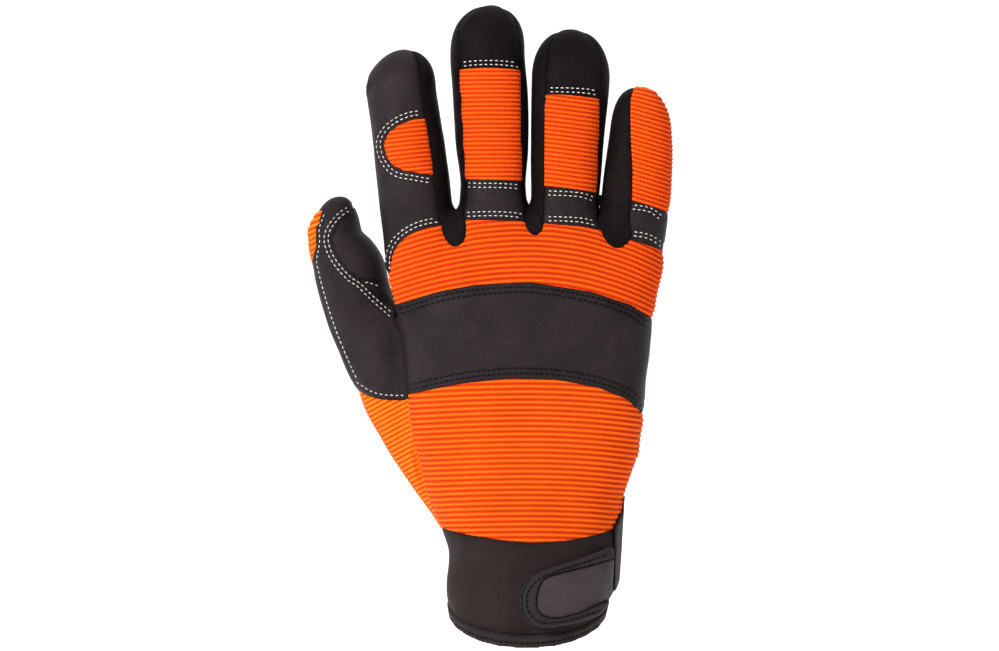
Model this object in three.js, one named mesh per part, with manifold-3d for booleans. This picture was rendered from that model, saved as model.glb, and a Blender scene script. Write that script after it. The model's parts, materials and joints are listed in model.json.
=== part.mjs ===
// Right-hand work glove, filled as if worn: fingers up (+Z), back of the hand towards -Y, thumb towards -X.
// The origin is the lowest point of the wrist opening's rim, in the middle of the hand's thickness.
import * as THREE from "three";
import { mergeVertices } from "three/addons/utils/BufferGeometryUtils.js";
import Module from "manifold-3d";

const wasm = await Module();
wasm.setup();

// Sizes in millimetres
const SIZES = {
  handWidth: 115.2, // across the finger roots; the fingers' and the thumb's widths follow it
  handDepth: 46, // thickness through the palm
  handHeight: 174, // from the rim to the webs between the fingers; the thumb's length follows it
  fingerDepth: 26,
  fingerCurl: 11, // how far the longest fingertip leans towards the palm
  panelWall: 1.8,
  cuffWall: 2.6,
  seamGap: 0.4, // between two panels
  hemRise: 22, // how much higher the rim is on the palm side than on the back
  hemHeight: 4.2,
  hemSwell: 1,
  strapWall: 1.5,
  hookWall: 1.2,
  tabLength: 37,
  tabHeight: 21,
  tabSwell: 1.2,
};

// Where the fingers start inside the hand
const ROOT_SHARE = 0.862;
const rootHeight = ROOT_SHARE * SIZES.handHeight;

// Fingers: the root's place, share of half the hand's width; length from the root height in mm; half width, share
// of the hand's width
const FINGERS = {
  index: { root: -0.79, length: 87.6, half: 0.125, depth: 1, cap: 0.17, roundness: 2.05 },
  middle: { root: -0.29, length: 105.6, half: 0.132, depth: 1.02, cap: 0.175, roundness: 2.2 },
  ring: { root: 0.175, length: 95.8, half: 0.1354, depth: 1, cap: 0.19, roundness: 2.2 },
  little: { root: 0.63, length: 72.8, half: 0.118, depth: 0.92, cap: 0.16, roundness: 2.2 },
};
const FINGER_NAMES = Object.keys(FINGERS);

// Rows along each finger: share of its length, sideways shift and width as shares of its half width
const FINGER_ROWS = {
  index: [
    { up: 0, shift: 0, width: 0.98 },
    { up: 0.31, shift: -0.21, width: 1.01 },
    { up: 0.54, shift: -0.36, width: 1 },
    { up: 0.765, shift: -0.56, width: 0.97 },
    { up: 0.835, shift: -0.62, width: 1 },
    { up: 1, shift: -0.46, width: 1 },
  ],
  middle: [
    { up: 0, shift: 0, width: 0.95 },
    { up: 0.26, shift: -0.03, width: 0.88 },
    { up: 0.33, shift: -0.04, width: 0.86 },
    { up: 0.45, shift: -0.06, width: 0.95 },
    { up: 0.64, shift: -0.1, width: 0.99 },
    { up: 0.82, shift: -0.19, width: 0.98 },
    { up: 1, shift: -0.13, width: 0.98 },
  ],
  ring: [
    { up: 0, shift: 0, width: 0.9 },
    { up: 0.28, shift: 0.08, width: 0.88 },
    { up: 0.49, shift: 0.13, width: 0.93 },
    { up: 0.7, shift: 0.2, width: 0.99 },
    { up: 0.8, shift: 0.23, width: 1 },
    { up: 1, shift: 0.23, width: 1 },
  ],
  little: [
    { up: 0, shift: 0, width: 0.96 },
    { up: 0.37, shift: 0.24, width: 1.02 },
    { up: 0.48, shift: 0.3, width: 1 },
    { up: 0.65, shift: 0.37, width: 0.955 },
    { up: 0.82, shift: 0.4, width: 0.87 },
    { up: 1, shift: 0.36, width: 0.8 },
  ],
};

// Hand and wrist: share of the hand's height; shift and width as shares of half its width; depth as a share of
// half its depth; roundness 2 is an ellipse and more is squarer
const HAND_ROWS = [
  { up: 0, shift: -0.07, width: 0.485, depth: 1.04, roundness: 2.1 },
  { up: 0.086, shift: -0.06, width: 0.545, depth: 1.05, roundness: 2.1 },
  { up: 0.144, shift: -0.035, width: 0.583, depth: 1.04, roundness: 2.15 },
  { up: 0.213, shift: -0.021, width: 0.583, depth: 1.02, roundness: 2.2 },
  { up: 0.259, shift: -0.042, width: 0.611, depth: 1, roundness: 2.25 },
  { up: 0.328, shift: -0.073, width: 0.656, depth: 0.98, roundness: 2.3 },
  { up: 0.42, shift: -0.063, width: 0.733, depth: 1, roundness: 2.4 },
  { up: 0.511, shift: -0.069, width: 0.799, depth: 1, roundness: 2.5 },
  { up: 0.603, shift: -0.066, width: 0.823, depth: 1, roundness: 2.6 },
  { up: 0.695, shift: -0.073, width: 0.851, depth: 0.96, roundness: 2.7 },
  { up: 0.787, shift: -0.08, width: 0.892, depth: 0.86, roundness: 2.7 },
  { up: 0.879, shift: -0.083, width: 0.9375, depth: 0.74, roundness: 2.7 },
  { up: 1, shift: -0.09, width: 0.98, depth: 0.64, roundness: 2.7 },
];
const WRIST_ROWS = 7; // how many of the rows the wrist's own layers follow
const HAND_CAP = 0.17;
const ROOT_TAPER = { length: 12, share: 0.75 }; // the fingers narrow into the hand below their roots

// Thumb: foot and length, shares of the hand's height; half width, share of the hand's width; half depth, share of
// the hand's depth. The rows lean it out from the wrist
const THUMB_SHARES = { foot: 0.23, length: 0.793, half: 0.15625, depth: 0.37 };
const THUMB = {
  foot: THUMB_SHARES.foot * SIZES.handHeight,
  length: THUMB_SHARES.length * SIZES.handHeight,
  half: THUMB_SHARES.half * SIZES.handWidth,
  depth: THUMB_SHARES.depth * SIZES.handDepth,
  cap: 0.17,
  roundness: 2.2,
};
const THUMB_ROWS = [
  { up: 0, side: -1.2, width: 0.62, back: 0.45, depth: 0.42 },
  { up: 0.125, side: -1.56, width: 1, back: 0.7, depth: 0.65 },
  { up: 0.24, side: -1.93, width: 1.22, back: 0.9, depth: 0.85 },
  { up: 0.355, side: -2.33, width: 1.33, back: 1.06, depth: 0.99 },
  { up: 0.47, side: -2.78, width: 1.33, back: 1.08, depth: 0.98 },
  { up: 0.587, side: -3.28, width: 1.22, back: 1.03, depth: 0.92 },
  { up: 0.7, side: -3.95, width: 0.845, back: 0.96, depth: 0.86 },
  { up: 0.82, side: -4.23, width: 0.8, back: 0.9, depth: 0.8 },
  { up: 0.88, side: -4.4, width: 0.71, back: 0.87, depth: 0.75 },
  { up: 0.91, side: -4.51, width: 0.65, back: 0.85, depth: 0.72 },
  { up: 1, side: -4.4, width: 0.65, back: 0.83, depth: 0.7 },
];

const ROUND_SIDES = { hand: 24, finger: 12, thumb: 12 };
const FINGER_LEVELS = 5;
const CAP_STEPS = 3;
const INNER_DETAIL = 0.6; // the hollow has fewer faces than the outside
const HOLLOW_FOOT = 20; // the hollow runs on this far below the rim, so it opens there
const OUTSIDE = 90; // well clear of the glove on every side

// A smooth curve through the rows of a table, read at one share of its length
function rowAt(rows, key, up) {
  const last = rows.length - 1;
  const t = Math.min(Math.max(up, rows[0].up), rows[last].up);
  let i = 0;
  while (i < last - 1 && t > rows[i + 1].up) i += 1;
  const slope = (n) => {
    const a = rows[Math.max(n - 1, 0)];
    const b = rows[Math.min(n + 1, last)];
    return (b[key] - a[key]) / (b.up - a.up);
  };
  const span = rows[i + 1].up - rows[i].up;
  const s = (t - rows[i].up) / span;
  const rise = rows[i + 1][key] - rows[i][key];
  const m0 = slope(i) * span;
  const m1 = slope(i + 1) * span;
  return rows[i][key] + s * (m0 + s * (3 * rise - 2 * m0 - m1 + s * (m0 + m1 - 2 * rise)));
}

// The middle of the fingers' thickness at a height: it leans towards the palm
const longest = Math.max(...FINGER_NAMES.map((name) => FINGERS[name].length));
function curlAt(z) {
  const up = Math.max(0, z - rootHeight) / longest;
  return SIZES.fingerCurl * up * up;
}

// Sections of the three kinds of tube: middle, half width, half depth and roundness at a height
function handSection(z) {
  const half = SIZES.handWidth / 2;
  const up = z / SIZES.handHeight;
  return {
    x: half * rowAt(HAND_ROWS, "shift", up),
    y: curlAt(z),
    width: half * rowAt(HAND_ROWS, "width", up),
    depth: (SIZES.handDepth / 2) * rowAt(HAND_ROWS, "depth", up),
    roundness: rowAt(HAND_ROWS, "roundness", up),
  };
}

function fingerSection(name, z) {
  const finger = FINGERS[name];
  const half = finger.half * SIZES.handWidth;
  const up = (z - rootHeight) / finger.length;
  const rows = FINGER_ROWS[name];
  return {
    x: (finger.root * SIZES.handWidth) / 2 + half * rowAt(rows, "shift", up),
    y: curlAt(z),
    width: half * rowAt(rows, "width", up),
    depth: (finger.depth * SIZES.fingerDepth) / 2,
    roundness: finger.roundness,
  };
}

function thumbSection(z) {
  const up = (z - THUMB.foot) / THUMB.length;
  return {
    x: THUMB.half * rowAt(THUMB_ROWS, "side", up),
    y: THUMB.depth * rowAt(THUMB_ROWS, "back", up),
    width: THUMB.half * rowAt(THUMB_ROWS, "width", up),
    depth: THUMB.depth * rowAt(THUMB_ROWS, "depth", up),
    roundness: THUMB.roundness,
  };
}

// A closed solid from rings of points, with a fan on each end
function loft(rings) {
  const sides = rings[0].length;
  const positions = rings.flat().flatMap((p) => [p.x, p.y, p.z]);
  const index = [];
  for (let r = 0; r + 1 < rings.length; r += 1)
    for (let s = 0; s < sides; s += 1) {
      const a = r * sides + s;
      const b = r * sides + ((s + 1) % sides);
      index.push(a, b, a + sides, b, b + sides, a + sides);
    }
  for (const end of [0, rings.length - 1]) {
    const middle = rings[end].reduce((sum, p) => sum.add(p), new THREE.Vector3()).divideScalar(sides);
    const tip = positions.length / 3;
    positions.push(middle.x, middle.y, middle.z);
    for (let s = 0; s < sides; s += 1) {
      const a = end * sides + s;
      const b = end * sides + ((s + 1) % sides);
      if (end) index.push(a, b, tip);
      else index.push(b, a, tip);
    }
  }
  const geometry = new THREE.BufferGeometry();
  geometry.setAttribute("position", new THREE.Float32BufferAttribute(positions, 3));
  geometry.setIndex(index);
  return geometry;
}

// A three.js geometry as a solid that can be joined and cut
function solid(geometry) {
  const bare = geometry.clone();
  bare.deleteAttribute("normal");
  bare.deleteAttribute("uv");
  const merged = mergeVertices(bare, 1e-4);
  const made = new wasm.Manifold(
    new wasm.Mesh({
      numProp: 3,
      vertProperties: new Float32Array(merged.attributes.position.array),
      triVerts: new Uint32Array(merged.index.array),
    }),
  );
  if (made.volume() < 0) throw new Error("a solid's faces point inwards");
  return made;
}

const union = (solids) => solids.reduce((sum, s) => sum.add(s));

// A ring of a tube: grow is added on every side, and shrink narrows it towards a rounded tip
function sectionRing(section, z, sides, grow, shrink) {
  const ring = [];
  const power = 2 / section.roundness;
  for (let s = 0; s < sides; s += 1) {
    const angle = (2 * Math.PI * (s + 0.5)) / sides;
    const c = Math.cos(angle);
    const n = Math.sin(angle);
    const across = Math.sign(c) * Math.abs(c) ** power * (section.width + grow) * shrink;
    const through = Math.sign(n) * Math.abs(n) ** power * (section.depth + grow) * shrink;
    ring.push(new THREE.Vector3(section.x + across, section.y + through, z));
  }
  return ring;
}

// A tube that stands on bottom and ends in a rounded tip at top
function tube({ section, bottom, top, capLength, grow, foot, sides, levels, taper, heights }) {
  const rings = [];
  const capStart = top - capLength;
  const even = Array.from({ length: levels }, (_, i) => bottom + ((capStart - bottom) * i) / levels);
  for (const z of [...(heights ?? even), capStart]) rings.push(sectionRing(section(z), z, sides, grow, 1));
  if (foot) rings.unshift(sectionRing(section(bottom), bottom - foot, sides, grow, taper ?? 1));
  const power = section(capStart).roundness;
  for (let i = 1; i <= CAP_STEPS; i += 1) {
    const rise = Math.sin((Math.PI / 2) * (i / (CAP_STEPS + 0.35)));
    const z = capStart + (capLength + grow) * rise;
    rings.push(sectionRing(section(z), z, sides, grow, (1 - rise ** power) ** (1 / power)));
  }
  return loft(rings);
}

// Ring heights of a tube: its table's rows below the cap
const ringHeights = (rows, cap, foot, length) =>
  rows.filter(({ up }) => up < 1 - cap).map(({ up }) => foot + up * length);

// The glove's whole form, grown outwards or, for the hollow, inwards; foot lengthens it below the rim
function form(grow, foot, detail) {
  const parts = [
    tube({
      section: handSection,
      bottom: 0,
      top: SIZES.handHeight,
      capLength: HAND_CAP * SIZES.handHeight,
      sides: Math.round(ROUND_SIDES.hand * detail),
      heights: ringHeights(HAND_ROWS, HAND_CAP, 0, SIZES.handHeight),
      grow,
      foot,
    }),
    tube({
      section: thumbSection,
      bottom: THUMB.foot,
      top: THUMB.foot + THUMB.length,
      capLength: THUMB.cap * THUMB.length,
      sides: Math.round(ROUND_SIDES.thumb * detail),
      heights: ringHeights(THUMB_ROWS, THUMB.cap, THUMB.foot, THUMB.length),
      grow,
    }),
  ];
  for (const name of FINGER_NAMES)
    parts.push(
      tube({
        section: (z) => fingerSection(name, z),
        bottom: rootHeight - grow,
        top: rootHeight + FINGERS[name].length,
        capLength: FINGERS[name].cap * longest,
        sides: Math.round(ROUND_SIDES.finger * detail),
        levels: Math.round(FINGER_LEVELS * detail),
        grow,
        foot: ROOT_TAPER.length,
        taper: ROOT_TAPER.share,
      }),
    );
  return union(parts.map(solid));
}

// Seam lines on the fingers' sides: share of the finger's length, and share of its half width
const SIDE_SEAMS = {
  index: {
    right: [
      { up: 1, side: 0.12 },
      { up: 0.968, side: 0.24 },
      { up: 0.913, side: 0.44 },
      { up: 0.817, side: 0.56 },
      { up: 0.393, side: 0.59 },
      { up: 0.24, side: 0.58 },
    ],
  },
  middle: {
    left: [
      { up: 1, side: -0.1 },
      { up: 0.985, side: -0.25 },
      { up: 0.962, side: -0.5 },
      { up: 0.913, side: -0.75 },
      { up: 0.655, side: -0.79 },
      { up: 0.326, side: -0.8 },
      { up: 0.197, side: -0.82 },
    ],
    right: [
      { up: 1, side: 0.2 },
      { up: 0.985, side: 0.33 },
      { up: 0.962, side: 0.52 },
      { up: 0.913, side: 0.74 },
      { up: 0.655, side: 0.79 },
      { up: 0.326, side: 0.84 },
      { up: 0.197, side: 0.86 },
    ],
  },
  ring: {
    left: [
      { up: 1, side: -0.12 },
      { up: 0.985, side: -0.3 },
      { up: 0.95, side: -0.47 },
      { up: 0.893, side: -0.58 },
      { up: 0.727, side: -0.64 },
      { up: 0.347, side: -0.6 },
      { up: 0.217, side: -0.6 },
    ],
    right: [
      { up: 1, side: 0.14 },
      { up: 0.985, side: 0.28 },
      { up: 0.95, side: 0.5 },
      { up: 0.893, side: 0.72 },
      { up: 0.727, side: 0.76 },
      { up: 0.347, side: 0.88 },
      { up: 0.217, side: 0.9 },
    ],
  },
  little: {
    left: [
      { up: 1, side: -0.14 },
      { up: 0.96, side: -0.28 },
      { up: 0.9, side: -0.35 },
      { up: 0.74, side: -0.34 },
      { up: 0.45, side: -0.15 },
      { up: 0.286, side: -0.14 },
    ],
  },
};

// Webs between neighbours: how low the strip's round end reaches on the back, as a share of the hand's height,
// and where its middle lies between its two arms
const WEBS = [
  { left: "index", right: "middle", low: 0.91, lean: 0.62 },
  { left: "middle", right: "ring", low: 0.936, lean: 0.58 },
  { left: "ring", right: "little", low: 0.906, lean: 0.64 },
];
const WEB_ROUND = { half: 0.36, rise: 0.28 }; // the round end, as shares of the arms' distance and height

// Seams across the fingers: share of the length at the left edge, in the middle and at the right edge
const CROSS_SEAMS = {
  middle: [
    { left: 0.174, middle: 0.178, right: 0.166 },
    { left: 0.336, middle: 0.332, right: 0.325 },
    { left: 0.744, middle: 0.756, right: 0.744 },
  ],
  ring: [
    { left: 0.18, middle: 0.174, right: 0.154 },
    { left: 0.345, middle: 0.332, right: 0.305 },
    { left: 0.725, middle: 0.718, right: 0.695 },
  ],
  little: [
    { left: 0.19, middle: 0.15, right: 0.082 },
    { left: 0.4, middle: 0.362, right: 0.29 },
  ],
};

// The small patch on the index finger, round on its outer side
const PATCH_SEAM = [
  { up: 0.683, side: 0.72 },
  { up: 0.671, side: 0.12 },
  { up: 0.63, side: -0.39 },
  { up: 0.571, side: -0.68 },
  { up: 0.502, side: -0.63 },
  { up: 0.452, side: -0.39 },
  { up: 0.434, side: 0.06 },
  { up: 0.415, side: 0.72 },
];

// Seams over the back of the hand: shares of the hand's height and of half its width at that height
const BACK_SEAMS = {
  indexArc: [
    { up: 0.955, side: -0.54 },
    { up: 0.957, side: -0.64 },
    { up: 0.945, side: -0.78 },
    { up: 0.92, side: -0.9 },
    { up: 0.89, side: -0.96 },
    { up: 0.855, side: -0.985 },
    { up: 0.825, side: -1.04 },
  ],
  bandTop: [
    { up: 0.776, side: -1.03 },
    { up: 0.786, side: -0.9 },
    { up: 0.807, side: -0.66 },
    { up: 0.822, side: -0.38 },
    { up: 0.828, side: 0.04 },
    { up: 0.807, side: 0.5 },
    { up: 0.777, side: 0.82 },
    { up: 0.747, side: 0.99 },
    { up: 0.72, side: 1.1 },
  ],
  bandBottom: [
    { up: 0.571, side: -1.04 },
    { up: 0.578, side: -0.9 },
    { up: 0.602, side: -0.45 },
    { up: 0.61, side: 0.02 },
    { up: 0.598, side: 0.45 },
    { up: 0.57, side: 0.79 },
    { up: 0.531, side: 0.98 },
    { up: 0.49, side: 1.1 },
  ],
  wrist: [
    { up: 0.285, side: -1.2 },
    { up: 0.268, side: -1.02 },
    { up: 0.249, side: -0.58 },
    { up: 0.236, side: 0 },
    { up: 0.245, side: 0.55 },
    { up: 0.262, side: 0.88 },
    { up: 0.285, side: 1.2 },
  ],
};

// Seams of the thumb, seen from the back of the hand: shares of its length and half width
const THUMB_SEAMS = {
  lowerEdge: [
    { up: 0.5, side: -1.2 },
    { up: 0.455, side: -1.03 },
    { up: 0.422, side: -0.79 },
    { up: 0.413, side: -0.42 },
    { up: 0.42, side: 0 },
    { up: 0.435, side: 0.45 },
  ],
  inner: [
    { up: 1.05, side: 0.95 },
    { up: 0.975, side: 0.98 },
    { up: 0.945, side: 0.33 },
    { up: 0.895, side: -0.13 },
    { up: 0.85, side: -0.26 },
    { up: 0.81, side: -0.14 },
    { up: 0.774, side: 0.1 },
    { up: 0.76, side: 0.28 },
    { up: 0.713, side: 0.58 },
    { up: 0.67, side: 0.71 },
    { up: 0.64, side: 0.78 },
  ],
  leaf: [
    { up: 0.764, side: 0.22 },
    { up: 0.763, side: 0.49 },
    { up: 0.75, side: 0.82 },
    { up: 0.715, side: 1.02 },
    { up: 0.68, side: 1.05 },
  ],
  nailSide: [
    { up: 1.05, side: 0.9 },
    { up: 0.965, side: 0.5 },
    { up: 0.9, side: 0.05 },
    { up: 0.8, side: -0.2 },
    { up: 0.64, side: -0.42 },
    { up: 0.48, side: -0.41 },
    { up: 0.3, side: -0.32 },
    { up: 0.15, side: -0.21 },
    { up: 0, side: 0.1 },
  ],
};

// How far in front of the thumb's middle its outer seam runs, in half depths
const THUMB_EDGE = [
  { up: 0.42, front: -0.06 },
  { up: 0.79, front: -0.06 },
  { up: 0.835, front: 0.45 },
  { up: 0.88, front: 0.66 },
  { up: 0.93, front: 0.6 },
  { up: 0.965, front: 0.4 },
  { up: 1.06, front: 0.1 },
];

const TIP_SEAM = 0.964; // the ribbed strip of the thumb ends at this share of its length

// Closure tab: shares of half its length and half its height from its middle
const TAB = { x: 0.215, z: 0.122 }; // its middle: shares of half the hand's width and of its height
const TAB_OUTLINE = [
  { along: 0.8, up: 1.57 },
  { along: 0.15, up: 1.19 },
  { along: -0.39, up: 0.89 },
  { along: -0.7, up: 0.63 },
  { along: -0.91, up: 0.19 },
  { along: -0.97, up: -0.3 },
  { along: -0.91, up: -0.81 },
  { along: -0.7, up: -1.2 },
  { along: -0.39, up: -1.3 },
  { along: 0.15, up: -1.15 },
  { along: 0.72, up: -0.84 },
  { along: 0.93, up: -0.15 },
  { along: 0.99, up: 1.3 },
  { along: 0.95, up: 1.68 },
];
const TAB_FACE = [
  { along: 1.2, up: 1.3 },
  { along: 0.96, up: 1.23 },
  { along: 0.15, up: 0.87 },
  { along: -0.39, up: 0.63 },
  { along: -0.587, up: 0.37 },
  { along: -0.674, up: -0.26 },
  { along: -0.61, up: -0.75 },
  { along: -0.35, up: -0.95 },
  { along: 0.15, up: -0.83 },
  { along: 0.93, up: -0.26 },
  { along: 1.2, up: -0.1 },
];

const BACK_FOOT = 0.229; // the lowest point of the back's panels lies just above this share of the hand's height

// Where the thumb is sewn to the palm: shares of the hand's height and of half its width at the finger roots
const THUMB_LINE = [
  { up: 0.1, side: -0.42 },
  { up: 0.2, side: -0.46 },
  { up: 0.33, side: -0.57 },
  { up: 0.43, side: -0.66 },
  { up: 0.546, side: -0.755 },
  { up: 0.644, side: -0.825 },
  { up: 0.713, side: -0.877 },
  { up: 0.747, side: -0.929 },
  { up: 0.782, side: -0.972 },
  { up: 0.816, side: -1.016 },
  { up: 0.85, side: -1.045 },
  { up: 0.92, side: -1.1 },
  { up: 1.035, side: -1.2 },
];

const LAYER_GAP = 0.35; // between the layers on the wrist
const HOOK_SHIFT = { x: -1.2, z: -0.2 }; // how far the tape shows past the tab's round end
// The strap's lower and upper edge, shares of the hand's height; where it is sewn on, share of half the hand's
// width; how much it narrows towards there; and its front edge over the tab, shares of the hand's thickness
const STRAP = { low: 0.118, high: 0.339, sewn: 0.05, taper: 4, front: -0.45, back: 0.05 };

const SIDE_ROWS = 6;
const JOINED = 2; // how far two sheets that carry on from each other overlap
const SIDE_SEAM_BACK = 3; // the side seams run this far behind the middle of the hand
const CREASE_FRONT = 0.8; // the back's panels end this far in front of it beside the thumb
const CROTCH_UP = 0.822; // height of the crotch of the thumb, as a share of the hand's height

const X = new THREE.Vector3(1, 0, 0);
const Y = new THREE.Vector3(0, 1, 0);
const Z = new THREE.Vector3(0, 0, 1);

const onHand = ({ up, side }) => {
  const z = up * SIZES.handHeight;
  const s = handSection(z);
  return new THREE.Vector2(s.x + side * s.width, z);
};
const onFinger = (name, { up, side }) => {
  const z = rootHeight + up * FINGERS[name].length;
  const s = fingerSection(name, z);
  return new THREE.Vector2(s.x + side * s.width, z);
};
const onThumb = ({ up, side }) => {
  const z = THUMB.foot + up * THUMB.length;
  const s = thumbSection(z);
  return new THREE.Vector2(s.x + side * s.width, z);
};
const onTab = ({ along, up }) =>
  new THREE.Vector2(
    TAB.x * halfHand + (along * SIZES.tabLength) / 2,
    TAB.z * SIZES.handHeight + (up * SIZES.tabHeight) / 2,
  );

const smooth = (points, steps) => new THREE.SplineCurve(points).getPoints(steps);

// A flat outline in the front view, pushed through the glove from yMin to yMax
function frontPrism(points, yMin, yMax) {
  const geometry = new THREE.ExtrudeGeometry(new THREE.Shape(points), {
    depth: yMax - yMin,
    bevelEnabled: false,
  });
  geometry.applyMatrix4(new THREE.Matrix4().makeBasis(X, Z, Y.clone().negate()));
  geometry.translate(0, yMax, 0);
  return solid(geometry);
}

// The same for an outline in the side view, of points (y, z), pushed through from xMin to xMax
function sidePrism(points, xMin, xMax) {
  const geometry = new THREE.ExtrudeGeometry(new THREE.Shape(points), {
    depth: xMax - xMin,
    bevelEnabled: false,
  });
  geometry.applyMatrix4(new THREE.Matrix4().makeBasis(Y, Z, X));
  geometry.translate(xMin, 0, 0);
  return solid(geometry);
}

// Points moved sideways off their own line, to the left of its direction
function offset(points, distance, closed) {
  const count = points.length;
  return points.map((p, i) => {
    const before = closed ? points[(i + count - 1) % count] : points[Math.max(i - 1, 0)];
    const after = closed ? points[(i + 1) % count] : points[Math.min(i + 1, count - 1)];
    const run = after.clone().sub(before).normalize();
    return new THREE.Vector2(p.x - run.y * distance, p.y + run.x * distance);
  });
}

// A thin blade along a line of the front view, as wide as a seam's gap
function blade(points, yMin, yMax) {
  const half = SIZES.seamGap / 2;
  const outline = [...offset(points, -half), ...offset(points, half).reverse()];
  return frontPrism(outline, yMin, yMax);
}

// A thin sheet that cuts front from back: rows of height, left end, right end and depth
function sheet(rows) {
  const half = SIZES.seamGap / 2;
  return solid(
    loft(
      rows.map(({ z, left, right, y }) => [
        new THREE.Vector3(left, y - half, z),
        new THREE.Vector3(right, y - half, z),
        new THREE.Vector3(right, y + half, z),
        new THREE.Vector3(left, y + half, z),
      ]),
    ),
  );
}

// The strip between two fingers, as an outline in the front view
function webOutline({ left, right, low, lean }) {
  const down = smooth(SIDE_SEAMS[left].right.map((row) => onFinger(left, row)), 8);
  const up = smooth(SIDE_SEAMS[right].left.map((row) => onFinger(right, row)).reverse(), 8);
  const a = down[down.length - 1];
  const b = up[0];
  const bottom = low * SIZES.handHeight;
  const middle = a.x + lean * (b.x - a.x);
  const half = WEB_ROUND.half * (b.x - a.x);
  const shoulder = bottom + WEB_ROUND.rise * (Math.min(a.y, b.y) - bottom);
  const round = smooth(
    [
      a,
      new THREE.Vector2(middle - half, shoulder),
      new THREE.Vector2(middle, bottom),
      new THREE.Vector2(middle + half, shoulder),
      b,
    ],
    12,
  );
  return [...down, ...round.slice(1, -1), ...up];
}

function webPrism(outline, grow) {
  const line = grow ? offset(outline, -grow) : outline;
  const rise = new THREE.Vector2(0, SIZES.fingerDepth);
  const first = line[0].clone().add(rise);
  const last = line[line.length - 1].clone().add(rise);
  return frontPrism([first, ...line, last], -OUTSIDE, OUTSIDE);
}

const crotch = CROTCH_UP * SIZES.handHeight;
const halfHand = SIZES.handWidth / 2;

// The blades that part the rest of the shell into its panels
function bladesOfHand() {
  const back = SIZES.fingerCurl + SIDE_SEAM_BACK + 1;
  const blades = [];
  const sideRows = [];
  for (let i = 0; i <= SIDE_ROWS; i += 1) {
    const z = ((crotch + JOINED) * i) / SIDE_ROWS;
    sideRows.push({ z, left: halfHand * 0.3, right: OUTSIDE, y: curlAt(z) + SIDE_SEAM_BACK });
  }
  blades.push(sheet(sideRows));
  const top = rootHeight + longest + SIZES.fingerDepth / 2;
  const clearOfThumb = [
    { up: 0, side: -1.012 },
    { up: 0.07, side: -1.05 },
    { up: 0.19, side: -1.128 },
    { up: 0.31, side: -1.146 },
    { up: 0.35, side: -1.39 },
    { up: 1, side: -1.39 },
  ];
  const upperRows = [];
  for (let i = 0; i <= 12; i += 1) {
    const up = i / 12;
    const z = crotch + up * (top - crotch);
    upperRows.push({
      z,
      left: halfHand * rowAt(clearOfThumb, "side", up),
      right: OUTSIDE,
      y: curlAt(z) + SIDE_SEAM_BACK,
    });
  }
  blades.push(sheet(upperRows));
  for (const name of Object.keys(CROSS_SEAMS))
    for (const row of CROSS_SEAMS[name]) {
      const ends = smooth(
        [
          onFinger(name, { up: row.left, side: -1.15 }),
          onFinger(name, { up: row.middle, side: 0 }),
          onFinger(name, { up: row.right, side: 1.15 }),
        ],
        8,
      );
      blades.push(blade(ends, -OUTSIDE, curlAt(ends[4].y) + SIDE_SEAM_BACK + 0.1));
    }
  blades.push(blade(smooth(PATCH_SEAM.map((row) => onFinger("index", row)), 9), -OUTSIDE, SIDE_SEAM_BACK));
  blades.push(blade(smooth(BACK_SEAMS.indexArc.map(onHand), 9), -OUTSIDE, SIDE_SEAM_BACK));
  for (const name of ["bandTop", "bandBottom"]) {
    const line = smooth(BACK_SEAMS[name].map(onHand), 8);
    blades.push(blade(line.filter((p) => p.x > -halfHand * 0.3), -OUTSIDE, SIDE_SEAM_BACK + 0.1));
    blades.push(blade(line.filter((p) => p.x < halfHand * 0.1), -OUTSIDE, -CREASE_FRONT + 0.1));
  }
  blades.push(
    sheet([
      { z: BACK_FOOT * SIZES.handHeight, left: -halfHand * 0.95, right: -halfHand * 0.3, y: -CREASE_FRONT },
      { z: crotch + 0.4, left: -halfHand * 1.04, right: -halfHand * 0.6, y: -CREASE_FRONT },
    ]),
  );
  blades.push(
    blade(
      [new THREE.Vector2(-halfHand * 1.012, crotch), new THREE.Vector2(-halfHand * 0.78, crotch)],
      -CREASE_FRONT - 0.2,
      back + 6,
    ),
  );
  return blades;
}

// The line, seen from the back of the hand, that parts the thumb's panels from the palm
const thumbLine = smooth(
  THUMB_LINE.map(({ up, side }) => new THREE.Vector2(side * halfHand, up * SIZES.handHeight)),
  12,
);

function thumbPrism(grow) {
  const line = offset(thumbLine, -grow);
  const first = line[0];
  const last = line[line.length - 1];
  const corners = [new THREE.Vector2(-OUTSIDE * 1.2, last.y), new THREE.Vector2(-OUTSIDE * 1.2, first.y)];
  return frontPrism([...line, ...corners], SIZES.seamGap / 2 - CREASE_FRONT - grow, OUTSIDE);
}

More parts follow.
